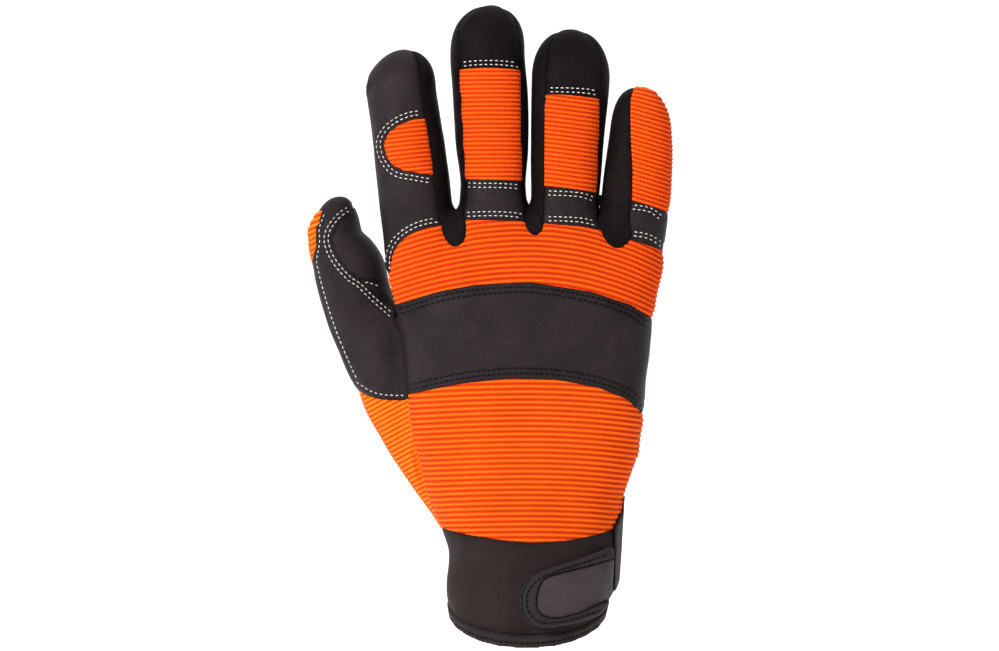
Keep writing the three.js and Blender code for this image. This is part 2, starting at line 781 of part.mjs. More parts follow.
// The blades that part the thumb's own shell
function bladesOfThumb() {
  const middle = THUMB.depth * 1.1;
  const blades = [];
  const reach = { lowerEdge: 1.08, inner: 0.76, leaf: 0.58 };
  for (const name of Object.keys(reach))
    blades.push(blade(smooth(THUMB_SEAMS[name].map(onThumb), 9), -CREASE_FRONT, middle * reach[name]));
    const edgeRow = (up) => {
    const z = THUMB.foot + up * THUMB.length;
    const s = thumbSection(z);
    return { z, x: s.x, width: s.width, y: s.y - s.depth * rowAt(THUMB_EDGE, "front", up) };
  };
  const rows = (from, to, count) =>
    Array.from({ length: count + 1 }, (_, i) => edgeRow(from + ((to - from) * i) / count));
  const strip = rows(THUMB_EDGE[0].up, TIP_SEAM, 15);
  blades.push(sheet(strip.map(({ z, x, width, y }) => ({ z, left: -OUTSIDE * 1.2, right: x + 0.6 * width, y }))));
  const tip = rows(0.93, 1.06, 4);
  blades.push(sheet(tip.map(({ z, x, width, y }) => ({ z, left: x + 0.45 * width, right: x + 0.98 * width, y }))));
  const over = edgeRow(TIP_SEAM);
  const across = [-OUTSIDE * 1.2, over.x + 0.6 * over.width].map((x) => new THREE.Vector2(x, over.z));
  blades.push(blade(across, over.y - JOINED * 0.1, OUTSIDE));
  blades.push(blade(smooth(THUMB_SEAMS.nailSide.map(onThumb), 8), middle * 0.43, OUTSIDE));
  blades.push(
    sheet([
      { z: crotch * 0.88, left: -halfHand * 0.87, right: -halfHand * 0.7, y: middle * 0.57 },
      { z: crotch * 0.94, left: -halfHand * 1.02, right: -halfHand * 0.7, y: middle * 0.57 },
      { z: crotch * 1.015, left: -halfHand * 1.13, right: -halfHand * 0.7, y: middle * 0.57 },
    ]),
  );
  return blades;
}

// Looks, and for each panel a point on it seen from the back of the hand or, with palm, from the palm
const LEATHER = { color: 0x2a2427, roughness: 0.62, metalness: 0 };
const RIBBED = { color: 0xe24a0c, roughness: 0.8, metalness: 0 };
const ELASTIC = { color: 0x2b2021, roughness: 0.85, metalness: 0 };
const BOUND = { color: 0x1c1517, roughness: 0.6, metalness: 0 };
const SMOOTH = { color: 0x3a3133, roughness: 0.42, metalness: 0 };
const TAPE = { color: 0x141012, roughness: 0.95, metalness: 0 };

const PANELS = [
  { name: "palm_leather", look: LEATHER, at: onHand({ up: 0.6, side: 0.3 }), palm: true },
  { name: "index_back_leather", look: LEATHER, at: onFinger("index", { up: 0.78, side: 0 }) },
  { name: "index_knuckle_patch", look: RIBBED, at: onFinger("index", { up: 0.56, side: 0 }) },
  { name: "middle_tip_cap", look: LEATHER, at: onFinger("middle", { up: 0.86, side: 0 }) },
  { name: "middle_back_rib", look: RIBBED, at: onFinger("middle", { up: 0.54, side: 0 }) },
  { name: "middle_knuckle_strip", look: LEATHER, at: onFinger("middle", { up: 0.25, side: 0 }) },
  { name: "ring_tip_cap", look: LEATHER, at: onFinger("ring", { up: 0.84, side: 0 }) },
  { name: "ring_back_rib", look: RIBBED, at: onFinger("ring", { up: 0.5, side: 0 }) },
  { name: "ring_knuckle_strip", look: LEATHER, at: onFinger("ring", { up: 0.25, side: 0 }) },
  { name: "little_back_rib", look: RIBBED, at: onFinger("little", { up: 0.6, side: 0.3 }) },
  { name: "little_knuckle_strip", look: LEATHER, at: onFinger("little", { up: 0.25, side: 0.2 }) },
  { name: "back_upper_panel", look: RIBBED, at: onHand({ up: 0.87, side: 0 }) },
  { name: "knuckle_band", look: LEATHER, at: onHand({ up: 0.7, side: 0 }) },
  { name: "back_lower_panel", look: RIBBED, at: onHand({ up: 0.45, side: 0 }) },
  { name: "thumb_side_leather", look: LEATHER, at: onThumb({ up: 0.6, side: 0 }) },
  { name: "thumb_pad_leather", look: LEATHER, at: onThumb({ up: 0.85, side: 0.4 }) },
  { name: "thumb_crotch_patch", look: LEATHER, at: onThumb({ up: 0.735, side: 0.68 }) },
  { name: "thumb_back_rib", look: RIBBED, at: onThumb({ up: 0.3, side: -0.75 }) },
];

function addPiece(group, name, body, look) {
  const mesh = body.getMesh();
  const geometry = new THREE.BufferGeometry();
  geometry.setAttribute("position", new THREE.BufferAttribute(mesh.vertProperties, 3));
  geometry.setIndex(new THREE.BufferAttribute(mesh.triVerts, 1));
  const piece = new THREE.Mesh(geometry, new THREE.MeshStandardMaterial(look));
  piece.name = name;
  group.add(piece);
  return piece;
}

function threeMesh(body) {
  const scratch = new THREE.Group();
  return addPiece(scratch, "body", body, { side: THREE.DoubleSide });
}

// The body that a straight look meets first at a point of the front view
function seenAt(bodies, at, palm) {
  const from = new THREE.Vector3(at.x, palm ? OUTSIDE : -OUTSIDE, at.y);
  const ray = new THREE.Raycaster(from, palm ? Y.clone().negate() : Y);
  const hit = ray.intersectObjects(bodies.map((b) => b.mesh), false)[0];
  return bodies.find((b) => b.mesh === hit?.object);
}

const largest = (body) => body.decompose().reduce((a, b) => (b.volume() > a.volume() ? b : a));

const glove = new THREE.Group();
const outer = form(0, 0, 1);
const wristLine = smooth(BACK_SEAMS.wrist.map(onHand), 8);
const above = frontPrism(
  [
    new THREE.Vector2(-OUTSIDE * 1.2, wristLine[0].y),
    ...wristLine,
    new THREE.Vector2(OUTSIDE, wristLine[wristLine.length - 1].y),
    new THREE.Vector2(OUTSIDE, OUTSIDE * 3.2),
    new THREE.Vector2(-OUTSIDE * 1.2, OUTSIDE * 3.2),
  ],
  -OUTSIDE,
  OUTSIDE,
);
const shell = outer.subtract(form(-SIZES.panelWall, HOLLOW_FOOT, INNER_DETAIL)).intersect(above);

const webs = WEBS.map((web) => ({ web, outline: webOutline(web) }));
for (const { web, outline } of webs)
  addPiece(
    glove,
    `${web.left}_${web.right}_fourchette`,
    largest(shell.intersect(webPrism(outline, 0))),
    LEATHER,
  );

const hand = shell
  .subtract(union([...webs.map(({ outline }) => webPrism(outline, SIZES.seamGap)), thumbPrism(SIZES.seamGap)]))
  .subtract(union(bladesOfHand()));
const thumb = shell.intersect(thumbPrism(0)).subtract(union(bladesOfThumb()));
const bodies = [...hand.decompose(), ...thumb.decompose()].map((body) => ({ body, mesh: threeMesh(body) }));
for (const { name, look, at, palm } of PANELS) {
  const found = seenAt(bodies, at, palm);
  if (!found || found.name) throw new Error(`${name} is ${found ? "the same body as " + found.name : "missing"}`);
  found.name = name;
  addPiece(glove, name, found.body, look);
}

// The wrist's own tube, grown for the layers that lie on it
function wristForm(grow, sides) {
  const rings = [];
  for (const { up } of HAND_ROWS.slice(0, WRIST_ROWS)) {
    const z = up * SIZES.handHeight;
    rings.push(sectionRing(handSection(z), z, sides, grow, 1));
  }
  rings.unshift(sectionRing(handSection(0), -SIZES.hemRise, sides, grow, 1));
  return solid(loft(rings));
}

// Everything between two planes that slope up towards the palm, as the rim does
function rimSlice(low, high) {
  const half = SIZES.handDepth / 2;
  const slope = SIZES.hemRise / SIZES.handDepth;
  const at = (y, z) => new THREE.Vector2(y, z + slope * (y + half));
  return sidePrism(
    [at(-OUTSIDE, low), at(OUTSIDE, low), at(OUTSIDE, high), at(-OUTSIDE, high)],
    -OUTSIDE,
    OUTSIDE,
  );
}

const below = frontPrism(
  [
    new THREE.Vector2(OUTSIDE, -OUTSIDE),
    new THREE.Vector2(OUTSIDE, wristLine[wristLine.length - 1].y - SIZES.seamGap),
    ...wristLine.map((p) => new THREE.Vector2(p.x, p.y - SIZES.seamGap)).reverse(),
    new THREE.Vector2(-OUTSIDE, wristLine[0].y - SIZES.seamGap),
    new THREE.Vector2(-OUTSIDE, -OUTSIDE),
  ],
  -OUTSIDE,
  OUTSIDE,
);
const hollow = wristForm(-SIZES.cuffWall, ROUND_SIDES.hand);
const cuffTop = SIZES.hemHeight + SIZES.seamGap;
addPiece(
  glove,
  "cuff",
  largest(
    wristForm(0, ROUND_SIDES.hand)
      .subtract(hollow)
      .intersect(below)
      .intersect(rimSlice(cuffTop, OUTSIDE)),
  ),
  ELASTIC,
);
addPiece(
  glove,
  "hem_binding",
  wristForm(SIZES.hemSwell, ROUND_SIDES.hand)
    .subtract(hollow)
    .intersect(rimSlice(0, SIZES.hemHeight)),
  BOUND,
);

// A layer over the wrist between two heights above its skin
const layer = (from, to) =>
  wristForm(to, ROUND_SIDES.hand).subtract(wristForm(from, ROUND_SIDES.hand));
const hookTop = LAYER_GAP + SIZES.hookWall;
const strapFoot = hookTop + LAYER_GAP;
const strapTop = strapFoot + SIZES.strapWall;
const tabLine = smooth([...TAB_OUTLINE, TAB_OUTLINE[0]].map(onTab), 24).slice(0, -1);
const faceLine = smooth(TAB_FACE.map(onTab), 16);
const hookLine = tabLine.map((p) => new THREE.Vector2(p.x + HOOK_SHIFT.x, p.y + HOOK_SHIFT.z));
const front = (points) => frontPrism(points, -OUTSIDE, 0);
addPiece(glove, "hook_tape", largest(layer(LAYER_GAP, hookTop).intersect(front(hookLine))), TAPE);
addPiece(
  glove,
  "tab_border",
  largest(
    layer(strapFoot, strapTop + SIZES.tabSwell)
      .intersect(front(tabLine))
      .subtract(front(offset(faceLine, -SIZES.seamGap))),
  ),
  BOUND,
);
addPiece(
  glove,
  "tab_face",
  largest(layer(strapFoot, strapTop).intersect(front(tabLine)).intersect(front(faceLine))),
  SMOOTH,
);

// The strap comes round the little finger's side from the palm, where it is sewn on
const tabEnd = Math.max(...tabLine.map((p) => p.x)) + SIZES.seamGap;
const strapLow = STRAP.low * SIZES.handHeight;
const strapHigh = STRAP.high * SIZES.handHeight;
const strapSewn = STRAP.sewn * halfHand;
const strapSide = frontPrism(
  [
    new THREE.Vector2(tabEnd, strapLow),
    new THREE.Vector2(OUTSIDE, strapLow),
    new THREE.Vector2(OUTSIDE, strapHigh),
    new THREE.Vector2(tabEnd, strapHigh),
  ],
  -OUTSIDE,
  1,
);
const strapBack = frontPrism(
  [
    new THREE.Vector2(strapSewn, strapLow + STRAP.taper),
    new THREE.Vector2(tabEnd, strapLow),
    new THREE.Vector2(OUTSIDE, strapLow),
    new THREE.Vector2(OUTSIDE, strapHigh),
    new THREE.Vector2(tabEnd, strapHigh),
    new THREE.Vector2(strapSewn, strapHigh - STRAP.taper * 2),
  ],
  0,
  OUTSIDE,
);
// Seen from the side, its front edge leans back from the top of the tab
const tabTop = Math.max(...tabLine.map((p) => p.y));
const strapEdge = sidePrism(
  [
    new THREE.Vector2(-OUTSIDE, strapLow),
    new THREE.Vector2(OUTSIDE, strapLow),
    new THREE.Vector2(OUTSIDE, strapHigh),
    new THREE.Vector2(STRAP.back * SIZES.handDepth, strapHigh),
    new THREE.Vector2(STRAP.front * SIZES.handDepth, tabTop),
    new THREE.Vector2(-OUTSIDE, tabTop),
  ],
  -OUTSIDE,
  OUTSIDE,
);
addPiece(
  glove,
  "closure_strap",
  largest(
    layer(LAYER_GAP, LAYER_GAP + SIZES.strapWall)
      .intersect(strapSide.add(strapBack))
      .intersect(strapEdge)
      .intersect(rimSlice(SIZES.hemHeight + 2 * LAYER_GAP, OUTSIDE)),
  ),
  LEATHER,
);

export default glove;
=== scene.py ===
"""A right-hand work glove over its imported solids: leather, ribbed knit, stitching, cuff and closure."""

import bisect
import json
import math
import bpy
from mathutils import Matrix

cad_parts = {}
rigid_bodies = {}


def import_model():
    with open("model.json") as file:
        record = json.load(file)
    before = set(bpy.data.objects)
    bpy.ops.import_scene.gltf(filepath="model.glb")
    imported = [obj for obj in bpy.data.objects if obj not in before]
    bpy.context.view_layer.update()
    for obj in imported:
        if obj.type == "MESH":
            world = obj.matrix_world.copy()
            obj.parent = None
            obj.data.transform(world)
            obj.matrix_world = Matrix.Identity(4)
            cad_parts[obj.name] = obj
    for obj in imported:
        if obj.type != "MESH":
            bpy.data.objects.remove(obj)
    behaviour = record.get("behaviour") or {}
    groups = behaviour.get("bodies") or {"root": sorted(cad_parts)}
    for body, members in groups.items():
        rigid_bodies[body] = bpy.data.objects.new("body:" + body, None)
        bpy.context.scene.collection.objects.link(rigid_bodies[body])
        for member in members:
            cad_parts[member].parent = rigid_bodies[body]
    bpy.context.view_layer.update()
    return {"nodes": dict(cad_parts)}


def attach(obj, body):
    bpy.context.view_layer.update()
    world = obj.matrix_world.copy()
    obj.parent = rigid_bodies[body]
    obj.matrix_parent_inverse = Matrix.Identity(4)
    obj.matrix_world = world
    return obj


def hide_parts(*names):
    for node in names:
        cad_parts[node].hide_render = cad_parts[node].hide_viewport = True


bl_info = {
    "name": "Work glove",
    "version": (1, 0, 0),
    "blender": (4, 5, 0),
    "location": "View3D > Sidebar > Glove",
    "description": "Sewn leather, ribbed knit, stitching, cuff and wrist closure of a work glove",
    "category": "Add Mesh",
}

import bmesh
import bpy
import numpy as np
from bpy.props import FloatProperty, FloatVectorProperty, PointerProperty
from mathutils import Matrix, Vector, kdtree, noise
from mathutils.bvhtree import BVHTree

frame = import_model()
NODES = frame["nodes"]
MM = 0.001

# The glove's form, in millimetres, as the solids have it
HAND_WIDTH = 115.2
HAND_DEPTH = 46.0
HAND_HEIGHT = 174.0
ROOT_HEIGHT = 150.0
FINGER_DEPTH = 26.0
FINGER_CURL = 11.0
HAND_CAP = 0.17
LONGEST = 105.6
ROOT_TAPER = 12.0

# name: root share, length, half width, depth share, cap share, roundness
FINGERS = {
    "index": (-0.79, 87.6, 14.4, 1.0, 0.17, 2.05),
    "middle": (-0.29, 105.6, 15.2, 1.02, 0.175, 2.2),
    "ring": (0.175, 95.8, 15.6, 1.0, 0.19, 2.2),
    "little": (0.63, 72.8, 13.6, 0.92, 0.16, 2.2),
}

# Along each finger: share of its length, shift and width as shares of its half width
FINGER_ROWS = {
    "index": [
        (0, 0, 0.98),
        (0.31, -0.21, 1.01),
        (0.54, -0.36, 1),
        (0.765, -0.56, 0.97),
        (0.835, -0.62, 1),
        (1, -0.46, 1),
    ],
    "middle": [
        (0, 0, 0.95),
        (0.26, -0.03, 0.88),
        (0.33, -0.04, 0.86),
        (0.45, -0.06, 0.95),
        (0.64, -0.1, 0.99),
        (0.82, -0.19, 0.98),
        (1, -0.13, 0.98),
    ],
    "ring": [
        (0, 0, 0.9),
        (0.28, 0.08, 0.88),
        (0.49, 0.13, 0.93),
        (0.7, 0.2, 0.99),
        (0.8, 0.23, 1),
        (1, 0.23, 1),
    ],
    "little": [
        (0, 0, 0.96),
        (0.37, 0.24, 1.02),
        (0.48, 0.3, 1),
        (0.65, 0.37, 0.955),
        (0.82, 0.4, 0.87),
        (1, 0.36, 0.8),
    ],
}

# Up the hand: share of its height, shift, width, depth, roundness
HAND_ROWS = [
    (0, -0.07, 0.485, 1.04, 2.1),
    (0.086, -0.06, 0.545, 1.05, 2.1),
    (0.144, -0.035, 0.583, 1.04, 2.15),
    (0.213, -0.021, 0.583, 1.02, 2.2),
    (0.259, -0.042, 0.611, 1, 2.25),
    (0.328, -0.073, 0.656, 0.98, 2.3),
    (0.42, -0.063, 0.733, 1, 2.4),
    (0.511, -0.069, 0.799, 1, 2.5),
    (0.603, -0.066, 0.823, 1, 2.6),
    (0.695, -0.073, 0.851, 0.96, 2.7),
    (0.787, -0.08, 0.892, 0.86, 2.7),
    (0.879, -0.083, 0.9375, 0.74, 2.7),
    (1, -0.09, 0.98, 0.64, 2.7),
]

# The thumb's foot, length, half width, half depth, cap share and roundness
THUMB = (40.0, 138.0, 18.0, 17.0, 0.17, 2.2)

# Up the thumb: share of its length, sideways, width, backwards, depth
THUMB_ROWS = [
    (0, -1.2, 0.62, 0.45, 0.42),
    (0.125, -1.56, 1, 0.7, 0.65),
    (0.24, -1.93, 1.22, 0.9, 0.85),
    (0.355, -2.33, 1.33, 1.06, 0.99),
    (0.47, -2.78, 1.33, 1.08, 0.98),
    (0.587, -3.28, 1.22, 1.03, 0.92),
    (0.7, -3.95, 0.845, 0.96, 0.86),
    (0.82, -4.23, 0.8, 0.9, 0.8),
    (0.88, -4.4, 0.71, 0.87, 0.75),
    (0.91, -4.51, 0.65, 0.85, 0.72),
    (1, -4.4, 0.65, 0.83, 0.7),
]

# Seams, as shares of height or length and of half width
PATCH_SEAM = [
    (0.683, 0.72),
    (0.671, 0.12),
    (0.63, -0.39),
    (0.571, -0.68),
    (0.502, -0.63),
    (0.452, -0.39),
    (0.434, 0.06),
    (0.415, 0.72),
]
INDEX_ARC = [
    (0.955, -0.54),
    (0.957, -0.64),
    (0.945, -0.78),
    (0.92, -0.9),
    (0.89, -0.96),
    (0.855, -0.985),
    (0.825, -1.04),
]
BAND_TOP = [
    (0.776, -1.03),
    (0.786, -0.9),
    (0.807, -0.66),
    (0.822, -0.38),
    (0.828, 0.04),
    (0.807, 0.5),
    (0.777, 0.82),
    (0.747, 0.99),
]
BAND_BOTTOM = [
    (0.571, -1.04),
    (0.578, -0.9),
    (0.602, -0.45),
    (0.61, 0.02),
    (0.598, 0.45),
    (0.57, 0.79),
    (0.531, 0.98),
]
CROSS_SEAMS = {
    "middle": [(0.174, 0.178, 0.166), (0.336, 0.332, 0.325), (0.744, 0.756, 0.744)],
    "ring": [(0.18, 0.174, 0.154), (0.345, 0.332, 0.305), (0.725, 0.718, 0.695)],
    "little": [(0.19, 0.15, 0.082), (0.4, 0.362, 0.29)],
}
THUMB_INNER = [
    (0.975, 0.98),
    (0.945, 0.33),
    (0.895, -0.13),
    (0.85, -0.26),
    (0.81, -0.14),
    (0.774, 0.1),
    (0.76, 0.28),
    (0.713, 0.58),
    (0.67, 0.71),
]
THUMB_LEAF = [(0.764, 0.22), (0.763, 0.49), (0.75, 0.82)]
THUMB_FOOT = [(0.455, -1.03), (0.422, -0.79), (0.413, -0.42), (0.42, 0), (0.435, 0.45)]

# The outer seam of the thumb: share of its length, how far in front of its middle in half depths
THUMB_EDGE = [(0.42, -0.06), (0.79, -0.06), (0.835, 0.45), (0.88, 0.66), (0.93, 0.6), (0.965, 0.4)]

# The closure tab: its middle, half its length and height, and its outline in shares of those
TAB = (12.4, 21.2, 18.5, 10.5)
TAB_OUTLINE = [
    (0.8, 1.57),
    (0.15, 1.19),
    (-0.39, 0.89),
    (-0.7, 0.63),
    (-0.91, 0.19),
    (-0.97, -0.3),
    (-0.91, -0.81),
    (-0.7, -1.2),
    (-0.39, -1.3),
    (0.15, -1.15),
    (0.72, -0.84),
]

# The rim: how much higher it is on the palm side, and the height of its binding
HEM_RISE = 22.0
HEM_HEIGHT = 4.2

# Sewing, in millimetres: from stitch to stitch, between two rows, a stitch's length and its threads,
# and how deep and how wide a row of stitches draws the skin in
PITCH = 2.1
ROWS_APART = 1.6
STITCH_LENGTH = 1.4
THICKNESS = {"pale": 0.42, "dark": 0.62}
STITCH_PULL = 0.34
PULL_WIDTH = 0.55

# A panel, in millimetres: where its inner and outer skins begin under the glove's outside, how far it
# grows into its seams, and how wide it sinks at them and swells between them
INNER_SKIN = -1.5
OUTER_SKIN = -0.95
SEAM_FILL = 0.24
CLOSURE_FILL = 0.12
SINK_WIDTH = 0.9
CROWN_WIDTH = 5.0
FOLD_SIZE = 14.0

# The share of its faces that a finished piece keeps
SKIN_KEPT = 0.6
RIBS_KEPT = 0.88

# From rib to rib, in millimetres
HAND_RIBS = 2.1
FINGER_RIBS = 1.75

LEATHER_SHINE = 0.12
# The lower shine of the darker painted-shade copy of the leather
PAINTED_SHADE_SHINE = 0.05

# The stage, in metres: the camera's place and what its frame takes in at the glove, and the paper
CAMERA_AWAY = 2.4
CAMERA_SIDE = -0.0148
CAMERA_HEIGHT = 0.127
FRAME_WIDTH = 0.3996
PAPER_GLOW = 0.62
FLOOR_REACH = 7.0
FLOOR_BELOW = 0.02
FLOOR_TURNS = 3.6
FLOOR_SWEEP = 0.8

# Each lamp: its place, its size in metres and its power in watts
LAMPS = {
    "key": ((-0.8, -0.9, 0.8), 0.6, 34),
    "fill": ((1.0, -1.0, 0.4), 1.2, 6),
    "top": ((0.1, 0.1, 1.5), 1.0, 8),
}

# What is made once and used again
MADE = {}


def along(rows, column, up):
    """The smooth curve through one column of a table"""
    rows = np.asarray(rows, float)
    heights, values = rows[:, 0], rows[:, column]
    count = len(rows)
    before = np.maximum(np.arange(count) - 1, 0)
    after = np.minimum(np.arange(count) + 1, count - 1)
    slope = (values[after] - values[before]) / (heights[after] - heights[before])
    t = np.clip(up, heights[0], heights[-1])
    i = np.clip(np.searchsorted(heights, t, side="left") - 1, 0, count - 2)
    span = heights[i + 1] - heights[i]
    s = (t - heights[i]) / span
    rise = values[i + 1] - values[i]
    start, end = slope[i] * span, slope[i + 1] * span
    return values[i] + s * (start + s * (3 * rise - 2 * start - end + s * (start + end - 2 * rise)))


def curl(z):
    up = np.maximum(0, z - ROOT_HEIGHT) / LONGEST
    return FINGER_CURL * up * up


def hand_section(z):
    up = z / HAND_HEIGHT
    half = HAND_WIDTH / 2
    return (
        half * along(HAND_ROWS, 1, up),
        curl(z),
        half * along(HAND_ROWS, 2, up),
        HAND_DEPTH / 2 * along(HAND_ROWS, 3, up),
        along(HAND_ROWS, 4, up),
    )


def finger_section(name, z):
    root, length, half, depth, cap, roundness = FINGERS[name]
    up = (z - ROOT_HEIGHT) / length
    taper = 1 - 0.25 * np.clip((ROOT_HEIGHT - z) / ROOT_TAPER, 0, 3)
    return (
        root * HAND_WIDTH / 2 + half * along(FINGER_ROWS[name], 1, up),
        curl(z),
        half * along(FINGER_ROWS[name], 2, up) * taper,
        depth * FINGER_DEPTH / 2 * taper,
        roundness + 0 * z,
    )


def thumb_section(z):
    foot, length, half, depth, cap, roundness = THUMB
    up = (z - foot) / length
    return (
        half * along(THUMB_ROWS, 1, up),
        depth * along(THUMB_ROWS, 3, up),
        half * along(THUMB_ROWS, 2, up),
        depth * along(THUMB_ROWS, 4, up),
        roundness + 0 * z,
    )


def tube_distance(section, cap_start, cap_length, p):
    """Distance of points from a rounded tube, and the way out of it"""
    x, y, z = p.T
    cx, cy, w, d, n = section(z)
    above, under = section(z + 0.5), section(z - 0.5)
    dx, dy = x - cx, y - cy
    a, b = np.abs(dx) / w, np.abs(dy) / d
    c = np.maximum(z - cap_start, 0) / cap_length
    q = np.maximum((a**n + b**n + c**n) ** (1 / n), 1e-6)
    ga, gb, gc = (a / q) ** (n - 1), (b / q) ** (n - 1), (c / q) ** (n - 1)
    gx, gy = ga * np.sign(dx) / w, gb * np.sign(dy) / d
    gz = gc / cap_length - gx * (above[0] - under[0]) - gy * (above[1] - under[1])
    gz = gz - ga * a / w * (above[2] - under[2]) - gb * b / d * (above[3] - under[3])
    way = np.stack([gx, gy, gz], 1)
    size = np.maximum(np.linalg.norm(way, axis=1), 1e-6)
    return (q - 1) / size, way / size[:, None]


def softly(d, way, e, other, reach):
    """The union of two forms with a fillet"""
    h = np.clip(0.5 + 0.5 * (e - d) / reach, 0, 1)
    mixed = way * h[:, None] + other * (1 - h)[:, None]
    mixed /= np.maximum(np.linalg.norm(mixed, axis=1), 1e-6)[:, None]
    return e * (1 - h) + d * h - reach * h * (1 - h), mixed


def glove_form(p, fillet):
    """Distance of points from the glove's outside, and the way out"""
    d, way = None, None
    for name, (_, length, _, _, cap, _) in FINGERS.items():
        start = ROOT_HEIGHT + length - cap * LONGEST
        e, other = tube_distance(lambda z: finger_section(name, z), start, cap * LONGEST, p)
        if d is None:
            d, way = e, other
        else:
            way = np.where((e < d)[:, None], other, way)
            d = np.minimum(d, e)
    cap = HAND_CAP * HAND_HEIGHT
    e, other = tube_distance(hand_section, HAND_HEIGHT - cap, cap, p)
    d, way = softly(d, way, e, other, fillet)
    cap = THUMB[4] * THUMB[1]
    e, other = tube_distance(thumb_section, THUMB[0] + THUMB[1] - cap, cap, p)
    return softly(d, way, e, other, fillet)


# Materials


class Wire:
    """A shader socket that can be added, multiplied and so on"""

    def __init__(self, tree, socket):
        self.tree, self.socket = tree, socket

    def _maths(self, operation, first, second):
        return add_node(self.tree, "ShaderNodeMath", {"operation": operation}, {0: first, 1: second})

    def __add__(self, other):
        return self._maths("ADD", self, other)

    def __mul__(self, other):
        return self._maths("MULTIPLY", self, other)

    def __sub__(self, other):
        return self._maths("SUBTRACT", self, other)

    def __rsub__(self, other):
        return self._maths("SUBTRACT", other, self)

    __radd__, __rmul__ = __add__, __mul__


def add_node(tree, kind, settings=None, inputs=None, output=0):
    """One node: its settings first, then the values or wires of its sockets"""
    node = tree.nodes.new(kind)
    for key, value in (settings or {}).items():
        if key == "stops":
            ramp = node.color_ramp
            for i, (place, colour) in enumerate(value):
                stop = ramp.elements[i] if i < 2 else ramp.elements.new(place)
                stop.position, stop.color = place, (*colour, 1)
        else:
            setattr(node, key, value)
    for key, value in (inputs or {}).items():
        if isinstance(value, Wire):
            tree.links.new(value.socket, node.inputs[key])
        else:
            node.inputs[key].default_value = value
    return Wire(tree, node.outputs[output])


def mix_colours(tree, share, first, second, blend="MIX"):
    pair = {0: share}
    for key, colour in ((6, first), (7, second)):
        pair[key] = colour if isinstance(colour, Wire) else (*colour, 1)
    return add_node(tree, "ShaderNodeMix", {"data_type": "RGBA", "blend_type": blend}, pair, 2)


def start_material(name):
    material = bpy.data.materials.new(name)
    material.use_nodes = True
    tree = material.node_tree
    shader = next(n for n in tree.nodes if n.type == "BSDF_PRINCIPLED")
    place = add_node(tree, "ShaderNodeTexCoord", output=3)
    return material, tree, shader, place


def finish_material(tree, shader, colour, roughness, bumps, constants):
    """Bumps are pairs of a height and its depth in metres"""
    tree.links.new(colour.socket, shader.inputs["Base Color"])
    tree.links.new(roughness.socket, shader.inputs["Roughness"])
    normal = None
    for height, depth in bumps:
        sockets = {"Height": height, "Distance": depth, "Strength": 1.0}
        if normal:
            sockets["Normal"] = normal
        normal = add_node(tree, "ShaderNodeBump", None, sockets)
    if normal:
        tree.links.new(normal.socket, shader.inputs["Normal"])
    for key, value in constants.items():
        shader.inputs[key].default_value = value


def textured(tree, kind, place, settings=None, **inputs):
    """A texture node on the given coordinates; its sockets are named with _ for spaces"""
    sockets = {key.replace("_", " "): value for key, value in inputs.items()}
    return add_node(tree, "ShaderNodeTex" + kind, settings, {"Vector": place, **sockets})


def leather(name, dark, light, gloss, grain=1.0, shine=LEATHER_SHINE):
    """Grained synthetic leather: pebbles, fine pores, and painted shade that darkens it at its seams and
    stitch rows
    """
    material, tree, shader, place = start_material(name)
    pebble = textured(tree, "Voronoi", place, {"feature": "DISTANCE_TO_EDGE"}, Scale=1250 * grain)
    steps = {"interpolation_type": "SMOOTHSTEP"}
    cells = add_node(tree, "ShaderNodeMapRange", steps, {0: pebble, 1: 0.0, 2: 0.22})
    pores = textured(tree, "Noise", place, Scale=2600.0, Detail=3.0)
    cloud = textured(tree, "Noise", place, Scale=55.0, Detail=4.0)
    crease = textured(tree, "Noise", place, Scale=210.0, Detail=5.0, Distortion=0.8)
    seam = add_node(tree, "ShaderNodeAttribute", {"attribute_name": "seam"}, output=2)
    tone = cells * 0.35 + cloud * 1.2 + pores * 1.8 - 1.3
    tone = add_node(tree, "ShaderNodeClamp", None, {0: tone})
    colour = mix_colours(tree, tone, dark, light)
    # Painted shade: the seam mask darkens the leather towards a third of its dark tone where it sinks into
    # seams and under stitch rows
    colour = mix_colours(tree, seam * 0.8, colour, tuple(0.3 * c for c in dark))
    roughness = cloud * 0.16 + pores * 0.12 + (gloss - 0.12) - cells * 0.05
    bumps = [(crease, 0.0004), (cells, 0.00013), (pores, 0.00006)]
    finish_material(tree, shader, colour, roughness, bumps, {"Specular IOR Level": shine})
    return material


